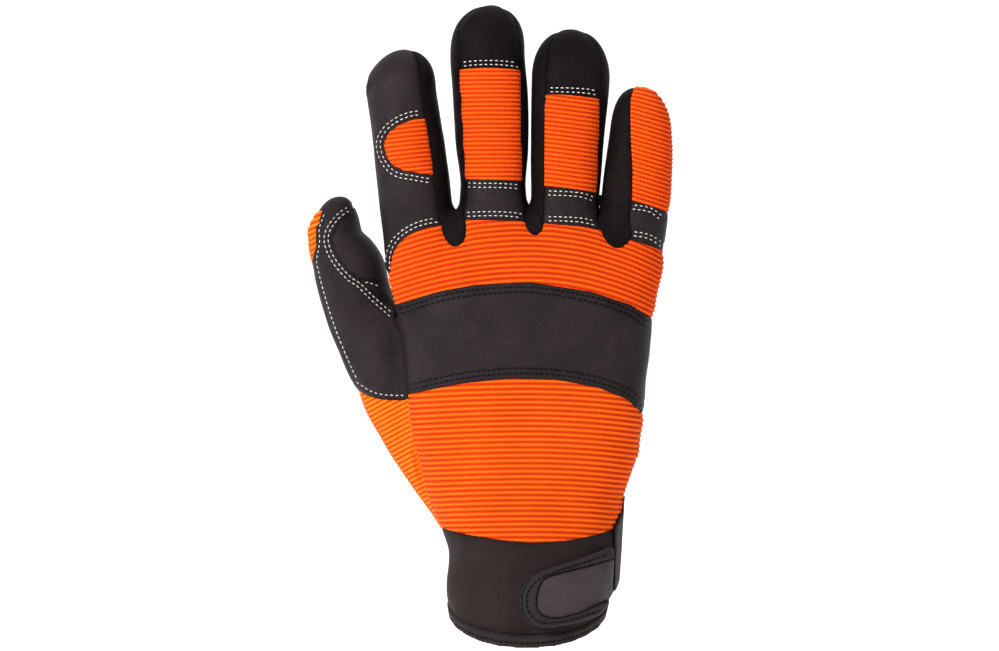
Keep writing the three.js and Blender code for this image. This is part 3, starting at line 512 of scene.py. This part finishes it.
def ribbed_knit(name, groove, flank, ridge):
    """Stretch knit: painted shade in the grooves, painted highlight on the ridges, and fine yarns that cross
    them
    """
    material, tree, shader, place = start_material(name)
    relief = add_node(tree, "ShaderNodeAttribute", {"attribute_name": "relief"}, output=2)
    turned = add_node(tree, "ShaderNodeMapping", None, {"Vector": place, "Rotation": (0.0, 0.62, 0.0)})
    bands = {"bands_direction": "X"}
    yarn = textured(tree, "Wave", turned, bands, Scale=330.0, Distortion=0.9, Detail=2.0, Detail_Scale=3.0)
    fuzz = textured(tree, "Noise", place, Scale=3800.0, Detail=3.0)
    cloud = textured(tree, "Noise", place, Scale=26.0, Detail=3.0)
    height = relief * 0.86 + yarn * (1.25 - relief) * 0.34 + fuzz * 0.22 - 0.12
    # Painted shade and highlight: the colour runs from the dark groove tone to the bright ridge tone with the
    # rib height
    stops = {"stops": [(0.12, groove), (0.94, ridge), (0.62, flank)]}
    colour = add_node(tree, "ShaderNodeValToRGB", stops, {0: height})
    tint = add_node(tree, "ShaderNodeMapRange", None, {0: cloud, 1: 0.3, 2: 0.7, 3: 0.9, 4: 1.06})
    grey = add_node(tree, "ShaderNodeCombineColor", None, {0: tint, 1: tint, 2: tint})
    colour = mix_colours(tree, 1.0, colour, grey, "MULTIPLY")
    constants = {"Sheen Weight": 0.04, "Sheen Roughness": 0.5, "Specular IOR Level": 0.05}
    finish_material(tree, shader, colour, fuzz * 0.15 + 0.72, [(yarn, 0.00016), (fuzz, 0.00006)], constants)
    shader.inputs["Sheen Tint"].default_value = (1.0, 0.45, 0.2, 1.0)
    return material


def close_cloth(name, dark, light, scale, depth, rough, sheen):
    """Close-woven cloth: crossing yarns with a little lint"""
    material, tree, shader, place = start_material(name)
    one = textured(tree, "Wave", place, {"bands_direction": "X"}, Scale=scale, Distortion=0.6, Detail=1.0)
    two = textured(tree, "Wave", place, {"bands_direction": "Z"}, Scale=scale, Distortion=0.6, Detail=1.0)
    lint = textured(tree, "Noise", place, Scale=2400.0, Detail=4.0)
    cloud = textured(tree, "Noise", place, Scale=70.0, Detail=3.0)
    weave = one * two
    tone = add_node(tree, "ShaderNodeClamp", None, {0: weave * 0.4 + cloud * 0.8 + lint * 1.6 - 0.9})
    colour = mix_colours(tree, tone, dark, light)
    # Painted shade: the seam mask darkens the cloth where it sinks into seams and under stitch rows
    seam = add_node(tree, "ShaderNodeAttribute", {"attribute_name": "seam"}, output=2)
    colour = mix_colours(tree, seam * 0.85, colour, tuple(0.3 * c for c in dark))
    constants = {"Sheen Weight": sheen, "Sheen Roughness": 0.4, "Specular IOR Level": 0.1}
    bumps = [(weave, depth), (lint, depth * 0.6)]
    finish_material(tree, shader, colour, lint * 0.15 + (rough - 0.08), bumps, constants)
    return material


def thread(name, colour_a, colour_b, shine):
    """Twisted sewing thread"""
    material, tree, shader, place = start_material(name)
    fibre = textured(tree, "Noise", place, Scale=4200.0, Detail=2.0)
    colour = mix_colours(tree, fibre, colour_a, colour_b)
    constants = {"Specular IOR Level": shine}
    finish_material(tree, shader, colour, fibre * 0.2 + 0.5, [(fibre, 0.00004)], constants)
    return material


# Making pieces


def put_in_scene(name, mesh):
    piece = bpy.data.objects.new(name, mesh)
    bpy.context.scene.collection.objects.link(piece)
    return piece


def shade_smooth(mesh):
    mesh.polygons.foreach_set("use_smooth", np.ones(len(mesh.polygons), bool))
    mesh.update()


def read_points(mesh):
    points = np.empty(len(mesh.vertices) * 3)
    mesh.vertices.foreach_get("co", points)
    return points.reshape(-1, 3) / MM


def write_points(mesh, points):
    mesh.vertices.foreach_set("co", (points * MM).ravel())
    mesh.update()


def store(mesh, name, values):
    attribute = mesh.attributes.new(name, "FLOAT", "POINT")
    attribute.data.foreach_set("value", values.astype(np.float32))


def read_normals(mesh):
    normals = np.empty(len(mesh.vertices) * 3)
    mesh.vertices.foreach_get("normal", normals)
    return normals.reshape(-1, 3)


def applied(piece):
    """The mesh of a piece with its modifiers applied; the piece itself goes"""
    mesh = bpy.data.meshes.new_from_object(piece.evaluated_get(bpy.context.evaluated_depsgraph_get()))
    bpy.data.objects.remove(piece)
    return mesh


def fine_copy(node, voxel, grow=SEAM_FILL):
    """The solid of a node as an even, fine mesh, grown until it meets its neighbours at the seams"""
    mesh = NODES[node].data.copy()
    mesh.materials.clear()
    bm = bmesh.new()
    bm.from_mesh(mesh)
    bmesh.ops.remove_doubles(bm, verts=bm.verts, dist=0.01 * MM)
    bm.to_mesh(mesh)
    bm.free()
    rough = put_in_scene("rough_" + node, mesh)
    remesh = rough.modifiers.new("even", "REMESH")
    remesh.mode = "VOXEL"
    remesh.voxel_size = voxel * MM
    even = applied(rough)
    write_points(even, read_points(even) + read_normals(even) * grow)
    return even


def thin_out(mesh, share):
    """The same skin with fewer faces, most of them taken from where it is flat"""
    rough = put_in_scene("rough_skin", mesh)
    rough.modifiers.new("fewer", "DECIMATE").ratio = share
    thin = applied(rough)
    shade_smooth(thin)
    return thin


def relax(mesh, steps):
    """Rounds a mesh off, a little at each step"""
    bm = bmesh.new()
    bm.from_mesh(mesh)
    axes = dict(use_axis_x=True, use_axis_y=True, use_axis_z=True)
    for _ in range(steps):
        bmesh.ops.smooth_vert(bm, verts=bm.verts, factor=0.5, **axes)
    bm.to_mesh(mesh)
    bm.free()


def ramp(values, low, high):
    """A soft step from 0 at low to 1 at high"""
    t = np.clip((values - low) / (high - low), 0, 1)
    return t * t * (3 - 2 * t)


def soft_noise(points, scale, seed):
    """Slow waves over a surface, always the same for one seed"""
    shift = Vector((seed * 7.3, seed * 3.1, seed * 5.7))
    return np.array([noise.noise(Vector(p) / scale + shift) for p in points])


def seam_reach(points, rim, core):
    """How far each of the points lies from the panel's own edge"""
    tree = kdtree.KDTree(int(rim.sum()))
    for i, p in enumerate(points[rim]):
        tree.insert(p, i)
    tree.balance()
    reach = np.zeros(len(points))
    reach[core] = [tree.find(p)[2] for p in points[core]]
    return reach


def stitch_pull(node, points):
    """How much the stitches of the back of the glove draw in each of a panel's points"""
    lines = [line for _, panel, line in stitch_rows() if panel == node]
    pull = np.zeros(len(points))
    if not lines:
        return pull
    spots = np.vstack([smooth_line(line, 0.4) for line in lines])
    tree = kdtree.KDTree(len(spots))
    for i, (x, z) in enumerate(spots):
        tree.insert((x, 0, z), i)
    tree.balance()
    front = points[:, 1] < points[:, 1].max() - 2
    distance = np.array([tree.find((x, 0, z))[2] for x, _, z in points[front]])
    pull[front] = np.exp(-((distance / PULL_WIDTH) ** 2))
    return pull


def draw_in(mesh, pull):
    """Lets a row of stitches pull a soft piece in, and darkens it there with painted shade"""
    write_points(mesh, read_points(mesh) - read_normals(mesh) * (STITCH_PULL * pull)[:, None])
    store(mesh, "seam", 0.45 * pull)


def sewn_panel(node, voxel, puff, sink, folds=0.0, relief=None, depth=0.0, seed=1):
    """A panel of cloth: crowned in the middle, drawn in at its seams, with ribs or folds of its own"""
    mesh = fine_copy(node, voxel)
    points = read_points(mesh)
    bare, way = glove_form(points, 0.5)
    outer = ramp(bare, INNER_SKIN, OUTER_SKIN)
    rim = (bare > INNER_SKIN + 0.05) & (bare < OUTER_SKIN)
    reach = seam_reach(points, rim, outer > 0.02) if rim.any() else np.full(len(points), 9.0)
    reach = np.maximum(reach - 0.45, 0)
    pull = stitch_pull(node, points)
    for _ in range(2):
        now, way = glove_form(points, 5.0)
        points = points - way * (now * outer)[:, None]
    edge = np.exp(-reach / SINK_WIDTH)
    rise = puff * looks().crown * (1 - np.exp(-reach / CROWN_WIDTH)) - sink * edge
    rise = rise - STITCH_PULL * pull
    if folds:
        rise = rise + folds * soft_noise(points, FOLD_SIZE, seed) * ramp(reach, 0, 6)
    ribs = np.zeros(len(points))
    if relief:
        ribs = 1 - (0.5 - 0.5 * np.cos(2 * np.pi * relief(points))) ** 1.25
        rise = rise + depth * looks().rib_depth * (ribs - 0.7) * ramp(reach, -0.6, 0.9)
    points = points + way * (rise * outer)[:, None]
    write_points(mesh, points)
    store(mesh, "relief", ribs)
    # The seam mask is painted shade for the materials: darkest at the sunken panel edges and along the stitch
    # rows
    store(mesh, "seam", np.maximum(edge, 0.4 * pull) * outer)
    return put_in_scene(node + "_cloth", thin_out(mesh, RIBS_KEPT if relief else SKIN_KEPT))


def dress(piece, node, material):
    """Gives a piece its material and its body, and hides the solid that it stands for"""
    piece.data.materials.clear()
    piece.data.materials.append(material)
    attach(piece, "root")
    if node:
        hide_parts(node)


# Seams and stitches


def on_tube(rows, section, foot, length):
    """Rows of shares as points of the front view, sideways and up"""
    line = []
    for up, side in rows:
        z = np.array([foot + up * length])
        x, _, w, _, _ = section(z)
        line.append((float(x[0] + side * w[0]), float(z[0])))
    return line


def on_hand(rows):
    return on_tube(rows, hand_section, 0, HAND_HEIGHT)


def on_finger(name, rows):
    return on_tube(rows, lambda z: finger_section(name, z), ROOT_HEIGHT, FINGERS[name][1])


def on_thumb(rows):
    return on_tube(rows, thumb_section, THUMB[0], THUMB[1])


def smooth_line(points, step):
    """Points an even step apart on the smooth curve through the given ones"""
    p = np.array(points, float)
    ends = np.vstack([2 * p[0] - p[1], p, 2 * p[-1] - p[-2]])
    fine = []
    for i in range(len(p) - 1):
        a, b, c, d = ends[i : i + 4]
        for t in np.linspace(0, 1, 24, endpoint=False):
            bend = (2 * a - 5 * b + 4 * c - d) * t * t + (3 * b - a - 3 * c + d) * t**3
            fine.append(0.5 * (2 * b + (c - a) * t + bend))
    fine.append(p[-1])
    fine = np.array(fine)
    run = np.concatenate([[0], np.cumsum(np.linalg.norm(np.diff(fine, axis=0), axis=1))])
    count = max(int(round(run[-1] / step)), 2)
    places = np.linspace(0, run[-1], count + 1)
    return np.stack([np.interp(places, run, fine[:, k]) for k in range(fine.shape[1])], 1)


def beside(points, distance):
    """A line moved to the left of its own direction"""
    p = np.array(points, float)
    run = np.gradient(p, axis=0)
    run /= np.maximum(np.linalg.norm(run, axis=1), 1e-9)[:, None]
    return p + np.stack([-run[:, 1], run[:, 0]], 1) * distance


class Surface:
    """The dressed pieces, for laying thread on"""

    def __init__(self, pieces):
        corners, faces = [], []
        self.owners, self.ends = [], []
        for piece in pieces:
            start = len(corners)
            corners.extend(v.co.copy() for v in piece.data.vertices)
            faces.extend([start + i for i in polygon.vertices] for polygon in piece.data.polygons)
            self.owners.append(piece.name)
            self.ends.append(len(faces))
        self.tree = BVHTree.FromPolygons(corners, faces)

    def _kept(self, hit, panel):
        place, out, face = hit[:3]
        if place is None or not self.owners[bisect.bisect_right(self.ends, face)].startswith(panel):
            return None, None
        return place, out

    def in_front(self, line, panel):
        """Points of the front view, brought onto one panel, each with its way out"""
        rays = [Vector((x * MM, -0.2, z * MM)) for x, z in line]
        return [self._kept(self.tree.ray_cast(start, Vector((0, 1, 0))), panel) for start in rays]

    def nearest(self, line, panel):
        """Points in space, brought onto the nearest skin where that is the panel's"""
        return [self._kept(self.tree.find_nearest(Vector(point) * MM), panel) for point in line]


def one_stitch(bm, middle, run, normal, thick):
    across = normal.cross(run).normalized()
    out = run.cross(across).normalized()
    turn = Matrix((run, across, out)).transposed().to_4x4()
    size = Matrix.Diagonal((STITCH_LENGTH / 2 * MM, thick / 2 * MM, thick / 2 * MM, 1))
    place = Matrix.Translation(middle) @ turn @ size
    bmesh.ops.create_uvsphere(bm, u_segments=6, v_segments=4, radius=1, matrix=place)


def sew(bm, spots, thick):
    """A row of stitches on spots half a stitch apart"""
    for before, here, after in zip(spots[0:-2:2], spots[1:-1:2], spots[2::2]):
        if before[0] is None or here[0] is None or after[0] is None:
            continue
        run = after[0] - before[0]
        if run.length < 3 * PITCH * MM:
            one_stitch(bm, here[0] + here[1] * 0.04 * MM, run.normalized(), here[1], thick)


def in_stitches(line):
    return smooth_line(line, PITCH / 2)


def thumb_edge_line():
    """The outer seam of the thumb's side leather, as the front view shows it"""
    foot, length, _, _, cap, n = THUMB
    line = []
    for up in np.linspace(0.47, 0.962, 30):
        x, _, w, _, _ = thumb_section(np.array([foot + up * length]))
        front = along(THUMB_EDGE, 1, up)
        round_top = max(up - 1 + cap, 0) / cap
        side = max(1 - round_top**n - abs(front) ** n, 0) ** (1 / n)
        line.append((float(x[0] - w[0] * side), foot + up * length))
    return line


def hem_line():
    """The middle of the rim's binding, all the way round"""
    x, _, w, d, _ = hand_section(np.array([0.0]))
    line = []
    for turn in np.linspace(0, 2 * math.pi, 73):
        y = float(d[0] + 1) * math.sin(turn)
        rise = HEM_RISE * (y / HAND_DEPTH + 0.5)
        line.append((float(x[0]) + float(w[0] + 1) * math.cos(turn), y, HEM_HEIGHT / 2 + rise))
    return line


def cross_line(name, row):
    left, middle, right = row
    between = [(left + 3 * middle) / 4, (right + 3 * middle) / 4]
    return on_finger(name, [(left, -0.95), (between[0], -0.5), (middle, 0), (between[1], 0.5), (right, 0.95)])


def stitch_rows():
    """The rows of stitches on the back of the glove: thread, panel and line of each"""
    if MADE.get("rows"):
        return MADE["rows"]
    thumb, index, rows = "thumb_side_leather", "index_back_leather", []
    patch = smooth_line(on_finger("index", PATCH_SEAM), 1.5)
    arc = smooth_line(on_hand(INDEX_ARC), 1.5)
    inner = smooth_line(on_thumb(THUMB_INNER), 2)
    rows.append(("pale", "thumb_crotch_patch", beside(smooth_line(on_thumb(THUMB_LEAF), 2), -1.2)))
    rows.append(("pale", thumb, beside(smooth_line(on_thumb(THUMB_FOOT), 2), 2.0)))
    rows.append(("pale", thumb, beside(smooth_line(thumb_edge_line(), 2), -2.0)))
    for first in (1.5, 1.5 + ROWS_APART):
        rows.append(("pale", index, beside(patch, -first)))
        rows.append(("pale", index, beside(arc, -first)))
        rows.append(("pale", thumb, beside(inner, 0.3 - first)))
        for name, seams in CROSS_SEAMS.items():
            lines = [smooth_line(cross_line(name, seam), 1.5) for seam in seams]
            strip = name + "_knuckle_strip"
            rows.append(("pale", strip, beside(lines[1], -first)))
            rows.append(("pale", strip, beside(lines[0], first + 0.4)))
            if len(lines) == 3:
                rows.append(("pale", name + "_tip_cap", beside(lines[2], first - 0.2)))
    for line, way in ((BAND_TOP, -1), (BAND_BOTTOM, 1)):
        seam = smooth_line(on_hand(line), 3)
        for distance in (1.9, 3.9):
            rows.append(("dark", "knuckle_band", beside(seam, way * distance)))
    x, z, half_length, half_height = TAB
    outline = [(x + along * half_length, z + up * half_height) for along, up in TAB_OUTLINE]
    rows.append(("dark", "tab_border", beside(smooth_line(outline, 1.5), 1.7)))
    MADE["rows"] = rows
    return rows


# Looks that a user may change


def tone_property(label, description, default):
    return FloatVectorProperty(
        name=label, description=description, default=default, subtype="COLOR", size=3, min=0, max=1
    )


class GloveLooks(bpy.types.PropertyGroup):
    rib_depth: FloatProperty(
        name="Rib depth",
        description="How far the knit's ribs stand over their grooves, as a factor",
        default=1.0,
        min=0,
        max=3,
        subtype="FACTOR",
    )
    crown: FloatProperty(
        name="Crown",
        description="How far the panels swell between their seams, as a factor",
        default=1.0,
        min=0,
        max=3,
        subtype="FACTOR",
    )
    leather_dark: tone_property("Leather, deep", "Leather in its pores", (0.0022, 0.001, 0.0013))
    leather_light: tone_property("Leather, raised", "Leather on its grain", (0.021, 0.0118, 0.0142))
    # The knit's tones: painted shade in the grooves, painted highlight on the ridges, the flanks between
    knit_groove_painted_shade: tone_property("Knit groove", "Knit between the ribs", (0.23, 0.0068, 0.0))
    knit_flank: tone_property("Knit flank", "Knit on the sides of the ribs", (0.5, 0.034, 0.001))
    knit_ridge_painted_highlight: tone_property("Knit ridge", "Knit on top of the ribs", (0.7, 0.093, 0.004))


def looks():
    return bpy.context.scene.glove_looks


def finishes():
    """The glove's materials, made once"""
    if MADE.get("finishes"):
        return MADE["finishes"]
    s = looks()
    dark, light = tuple(s.leather_dark), tuple(s.leather_light)
    # Painted shade: a darker copy of the same leather, with less shine, for the fourchettes and tip caps that
    # lie in shadow
    deep = [tuple(0.4 * c for c in tone) for tone in (dark, light)]
    knit = [tuple(tone) for tone in (s.knit_groove_painted_shade, s.knit_flank, s.knit_ridge_painted_highlight)]

    # Painted light: lighter copies of the same knit for the lower back panel and the thumb, where more light
    # falls
    def brighter(factor):
        return [(min(r * factor**0.25, 1), g * factor, b * factor) for r, g, b in knit]

    MADE["finishes"] = {
        "leather": leather("black_leather", dark, light, 0.5),
        "painted_shade_leather": leather("finger_side_leather", *deep, 0.55, 1.1, PAINTED_SHADE_SHINE),
        "rib": ribbed_knit("orange_knit", *knit),
        "lit_rib": ribbed_knit("lower_knit", *brighter(1.25)),
        "thumb_rib_painted_light": ribbed_knit("thumb_knit", *brighter(2.0)),
        "elastic": close_cloth(
            "elastic_cloth", (0.005, 0.0022, 0.002), (0.026, 0.0155, 0.0152), 900.0, 0.0001, 0.85, 0.05
        ),
        "binding": close_cloth(
            "binding_tape", (0.004, 0.0025, 0.0028), (0.03, 0.0205, 0.022), 1100.0, 0.00008, 0.6, 0.05
        ),
        "tab": leather("smooth_tab", (0.026, 0.018, 0.019), (0.042, 0.03, 0.031), 0.3, 1.6),
        "tape": close_cloth(
            "hook_tape", (0.0025, 0.002, 0.002), (0.012, 0.01, 0.011), 700.0, 0.0002, 0.95, 0.15
        ),
        "pale_thread": thread("pale_thread", (0.34, 0.32, 0.31), (0.66, 0.64, 0.61), 0.1),
        "dark_thread": thread("dark_thread", (0.0008, 0.0006, 0.0007), (0.0024, 0.0018, 0.002), 0.02),
    }
    return MADE["finishes"]


class PanelOperator:
    """Shared by the operators that make sewn panels"""

    bl_options = {"REGISTER", "UNDO"}
    panels = {}
    finish = "leather"
    slot = "black_leather"

    def execute(self, context):
        for seed, (node, options) in enumerate(self.panels.items()):
            options = dict(options)
            finish = options.pop("finish", self.finish)
            piece = sewn_panel(node, seed=seed + 1, **options)
            dress(piece, node, finishes()[finish])
        return {"FINISHED"}


class GLOVE_OT_palm(PanelOperator, bpy.types.Operator):
    """Palm and the undersides of the fingers"""

    bl_idname = "glove.palm"
    bl_label = "Palm"
    panels = {"palm_leather": dict(voxel=0.9, puff=0.4, sink=0.45, folds=1.0)}


class GLOVE_OT_finger_leather(PanelOperator, bpy.types.Operator):
    """Black leather of the fingers: index back, strips between the fingers, caps and knuckle strips"""

    bl_idname = "glove.finger_leather"
    bl_label = "Finger leather"
    panels = {
        "index_back_leather": dict(voxel=0.55, puff=0.35, sink=0.4, folds=0.5),
        "index_middle_fourchette": dict(voxel=0.7, puff=0.1, sink=0.4, folds=0.4, finish="painted_shade_leather"),
        "middle_ring_fourchette": dict(voxel=0.7, puff=-0.1, sink=0.4, folds=0.2, finish="painted_shade_leather"),
        "ring_little_fourchette": dict(voxel=0.7, puff=0.0, sink=0.4, folds=0.3, finish="painted_shade_leather"),
        "middle_tip_cap": dict(voxel=0.55, puff=0.15, sink=0.35, folds=0.25, finish="painted_shade_leather"),
        "ring_tip_cap": dict(voxel=0.55, puff=0.15, sink=0.35, folds=0.25, finish="painted_shade_leather"),
        "middle_knuckle_strip": dict(voxel=0.5, puff=0.5, sink=0.45, folds=0.4),
        "ring_knuckle_strip": dict(voxel=0.5, puff=0.5, sink=0.45, folds=0.4),
        "little_knuckle_strip": dict(voxel=0.5, puff=0.5, sink=0.45, folds=0.4),
    }


def arched(pitch, middle, left, right):
    """Ribs that arch over the hand: drops at the left and right edge, 50 mm out"""

    def phase(p):
        u = (p[:, 0] - middle) / 50
        drop = np.where(u < 0, left, right) * u * u
        return (p[:, 2] + drop) / pitch

    return phase


def slanted(pitch, tilt):
    """Straight ribs that drop to one side"""
    return lambda p: (p[:, 2] + tilt * p[:, 0]) / pitch


class GLOVE_OT_ribbed_panels(PanelOperator, bpy.types.Operator):
    """Orange ribbed knit of the fingers, the back and the thumb"""

    bl_idname = "glove.ribbed_panels"
    bl_label = "Ribbed panels"
    finish = "rib"
    slot = "orange_knit"
    panels = {
        "index_knuckle_patch": dict(
            voxel=0.38, puff=0.6, sink=0.5, relief=slanted(FINGER_RIBS, -0.1), depth=0.45
        ),
        "middle_back_rib": dict(voxel=0.38, puff=0.5, sink=0.5, relief=slanted(FINGER_RIBS, 0.0), depth=0.45),
        "ring_back_rib": dict(voxel=0.38, puff=0.5, sink=0.5, relief=slanted(FINGER_RIBS, 0.13), depth=0.45),
        "little_back_rib": dict(voxel=0.38, puff=0.5, sink=0.5, relief=slanted(FINGER_RIBS, 0.3), depth=0.45),
        "back_upper_panel": dict(
            voxel=0.42, puff=0.7, sink=0.6, folds=0.5, relief=arched(HAND_RIBS, -3, 8, 12), depth=0.55
        ),
        "back_lower_panel": dict(
            voxel=0.42,
            puff=0.9,
            sink=0.7,
            folds=0.8,
            relief=arched(HAND_RIBS, -3, 2, 4),
            depth=0.55,
            finish="lit_rib",
        ),
        "thumb_back_rib": dict(
            voxel=0.5,
            puff=0.6,
            sink=0.5,
            folds=0.6,
            relief=slanted(HAND_RIBS, -0.55),
            depth=0.36,
            finish="thumb_rib_painted_light",
        ),
    }


class GLOVE_OT_knuckle_band(PanelOperator, bpy.types.Operator):
    """Wide black band over the knuckles"""

    bl_idname = "glove.knuckle_band"
    bl_label = "Knuckle band"
    panels = {"knuckle_band": dict(voxel=0.5, puff=0.7, sink=0.5, folds=0.7)}


class GLOVE_OT_thumb(PanelOperator, bpy.types.Operator):
    """Leather of the thumb"""

    bl_idname = "glove.thumb"
    bl_label = "Thumb leather"
    panels = {
        "thumb_side_leather": dict(voxel=0.5, puff=0.8, sink=0.5, folds=0.9),
        "thumb_pad_leather": dict(voxel=0.7, puff=0.4, sink=0.45, folds=0.8),
        "thumb_crotch_patch": dict(voxel=0.45, puff=0.4, sink=0.4, folds=0.3),
    }


class GLOVE_OT_cuff(bpy.types.Operator):
    """Elastic cuff and the rolled binding of its rim"""

    bl_idname = "glove.cuff"
    bl_label = "Cuff"
    bl_options = {"REGISTER", "UNDO"}

    def execute(self, context):
        cuff = sewn_panel("cuff", 0.8, 0.3, 0.9, folds=0.7, seed=9)
        dress(cuff, "cuff", finishes()["elastic"])
        hem = fine_copy("hem_binding", 0.5)
        relax(hem, 6)
        points = read_points(hem)
        rise = HEM_RISE * (points[:, 1] / HAND_DEPTH + 0.5)
        draw_in(hem, np.exp(-(((points[:, 2] - rise - HEM_HEIGHT / 2) / 0.5) ** 2)))
        roll = put_in_scene("hem_binding_roll", thin_out(hem, SKIN_KEPT))
        dress(roll, "hem_binding", finishes()["binding"])
        return {"FINISHED"}


class GLOVE_OT_closure(bpy.types.Operator):
    """Wrist strap, its padded tab and the hook tape under it"""

    bl_idname = "glove.closure"
    bl_label = "Closure"
    bl_options = {"REGISTER", "UNDO"}

    def execute(self, context):
        wanted = (
            ("closure_strap", 0.6, 8, "leather", "black_leather"),
            ("hook_tape", 0.4, 2, "tape", "hook_tape"),
            ("tab_border", 0.36, 16, "binding", "binding_tape"),
            ("tab_face", 0.4, 6, "tab", "smooth_tab"),
        )
        for node, voxel, steps, finish, slot in wanted:
            mesh = fine_copy(node, voxel, CLOSURE_FILL)
            relax(mesh, steps)
            draw_in(mesh, stitch_pull(node, read_points(mesh)))
            soft = put_in_scene(node + "_soft", thin_out(mesh, SKIN_KEPT))
            dress(soft, node, finishes()[finish])
        return {"FINISHED"}


class GLOVE_OT_stitches(bpy.types.Operator):
    """Pale and dark rows of stitches"""

    bl_idname = "glove.stitches"
    bl_label = "Stitches"
    bl_options = {"REGISTER", "UNDO"}

    def execute(self, context):
        dressed = [o for o in bpy.data.objects if o.name.endswith(("_cloth", "_soft", "_roll"))]
        surface = Surface(dressed)
        threads = {"pale": bmesh.new(), "dark": bmesh.new()}
        for tone, panel, line in stitch_rows():
            sew(threads[tone], surface.in_front(in_stitches(line), panel), THICKNESS[tone])
        sew(threads["dark"], surface.nearest(in_stitches(hem_line()), ""), THICKNESS["dark"])
        for tone, bm in threads.items():
            mesh = bpy.data.meshes.new(tone + "_stitches")
            bm.to_mesh(mesh)
            bm.free()
            shade_smooth(mesh)
            dress(put_in_scene(mesh.name, mesh), None, finishes()[tone + "_thread"])
        return {"FINISHED"}


def lay_floor():
    """White paper under the glove, which turns up behind it in a wide sweep"""
    bm = bmesh.new()
    bmesh.ops.create_grid(bm, x_segments=1, y_segments=120, size=FLOOR_REACH)
    for v in bm.verts:
        past = max(v.co.y - FLOOR_TURNS, 0)
        if past > 0:
            turn = min(past / FLOOR_SWEEP, math.pi / 2)
            straight = max(past - FLOOR_SWEEP * math.pi / 2, 0) * 2
            v.co.y = FLOOR_TURNS + FLOOR_SWEEP * math.sin(turn)
            v.co.z = FLOOR_SWEEP * (1 - math.cos(turn)) + straight
        v.co.z -= FLOOR_BELOW
    bmesh.ops.recalc_face_normals(bm, faces=bm.faces)
    mesh = bpy.data.meshes.new("floor")
    bm.to_mesh(mesh)
    bm.free()
    shade_smooth(mesh)
    mesh.materials.append(white_paper())
    return put_in_scene("floor", mesh)


def white_paper():
    """Paper that glows a little, so that it stays white in the shade"""
    paper, tree, shader, place = start_material("paper")
    cloud = add_node(tree, "ShaderNodeTexNoise", None, {"Vector": place, "Scale": 3.0})
    colour = mix_colours(tree, cloud, (0.9, 0.9, 0.9), (0.94, 0.94, 0.94))
    glow = {"Specular IOR Level": 0.1, "Emission Color": (1, 1, 1, 1), "Emission Strength": PAPER_GLOW}
    finish_material(tree, shader, colour, cloud * 0.1 + 0.85, [], glow)
    return paper


def light_sky():
    """White light from all round, less of it from above and from the front"""
    world = bpy.data.worlds.new("studio")
    world.use_nodes = True
    tree = world.node_tree
    sky = add_node(tree, "ShaderNodeTexCoord")
    height = add_node(tree, "ShaderNodeSeparateXYZ", None, {0: sky}, 2)
    depth = add_node(tree, "ShaderNodeSeparateXYZ", None, {0: sky}, 1)
    above = add_node(tree, "ShaderNodeMapRange", None, {0: height, 1: 0.15, 2: 0.6, 3: 1.0, 4: 0.4})
    behind = add_node(tree, "ShaderNodeMapRange", None, {0: depth, 1: -0.5, 2: 0.3, 3: 0.3, 4: 1.0})
    light = above * behind
    tree.links.new(light.socket, tree.nodes["Background"].inputs[1])
    tree.nodes["Background"].inputs[0].default_value = (1, 1, 1, 1)
    return world


def hang_lamps(scene):
    aim = Vector((-0.015, 0, CAMERA_HEIGHT))
    for name, (spot, size, power) in LAMPS.items():
        light = bpy.data.lights.new(name, "AREA")
        light.size, light.energy = size, power
        lamp = bpy.data.objects.new(name, light)
        lamp.location = spot
        lamp.rotation_euler = (aim - lamp.location).to_track_quat("-Z", "Y").to_euler()
        scene.collection.objects.link(lamp)


def place_camera(scene):
    """A camera that looks straight at the back of the hand, level with the glove's middle"""
    lens = bpy.data.cameras.new("camera")
    lens.sensor_width = 36
    lens.lens = lens.sensor_width * CAMERA_AWAY / FRAME_WIDTH
    camera = bpy.data.objects.new("camera", lens)
    camera.location = (CAMERA_SIDE, -CAMERA_AWAY, CAMERA_HEIGHT)
    camera.rotation_euler = (math.pi / 2, 0, 0)
    scene.collection.objects.link(camera)
    scene.camera = camera


class GLOVE_OT_stage(bpy.types.Operator):
    """White seamless floor, soft lights and the camera"""

    bl_idname = "glove.stage"
    bl_label = "Stage"
    bl_options = {"REGISTER", "UNDO"}

    def execute(self, context):
        lay_floor()
        context.scene.world = light_sky()
        hang_lamps(context.scene)
        place_camera(context.scene)
        context.scene.view_settings.view_transform = "Standard"
        return {"FINISHED"}


class GLOVE_PT_panel(bpy.types.Panel):
    """The glove's looks and pieces"""

    bl_idname = "GLOVE_PT_panel"
    bl_label = "Glove"
    bl_space_type = "VIEW_3D"
    bl_region_type = "UI"
    bl_category = "Glove"

    def draw(self, context):
        for key in GloveLooks.__annotations__:
            self.layout.prop(context.scene.glove_looks, key)
        for operator in STEPS:
            self.layout.operator(operator.bl_idname)


STEPS = (
    GLOVE_OT_stage,
    GLOVE_OT_palm,
    GLOVE_OT_finger_leather,
    GLOVE_OT_ribbed_panels,
    GLOVE_OT_knuckle_band,
    GLOVE_OT_thumb,
    GLOVE_OT_cuff,
    GLOVE_OT_closure,
    GLOVE_OT_stitches,
)
CLASSES = (GloveLooks, *STEPS, GLOVE_PT_panel)


def register():
    for kind in CLASSES:
        bpy.utils.register_class(kind)
    bpy.types.Scene.glove_looks = PointerProperty(type=GloveLooks)


def unregister():
    del bpy.types.Scene.glove_looks
    for kind in reversed(CLASSES):
        bpy.utils.unregister_class(kind)


def main():
    register()
    bpy.ops.glove.stage()
    bpy.ops.glove.palm()
    bpy.ops.glove.finger_leather()
    bpy.ops.glove.ribbed_panels()
    bpy.ops.glove.knuckle_band()
    bpy.ops.glove.thumb()
    bpy.ops.glove.cuff()
    bpy.ops.glove.closure()
    bpy.ops.glove.stitches()


if __name__ == "__main__":
    main()
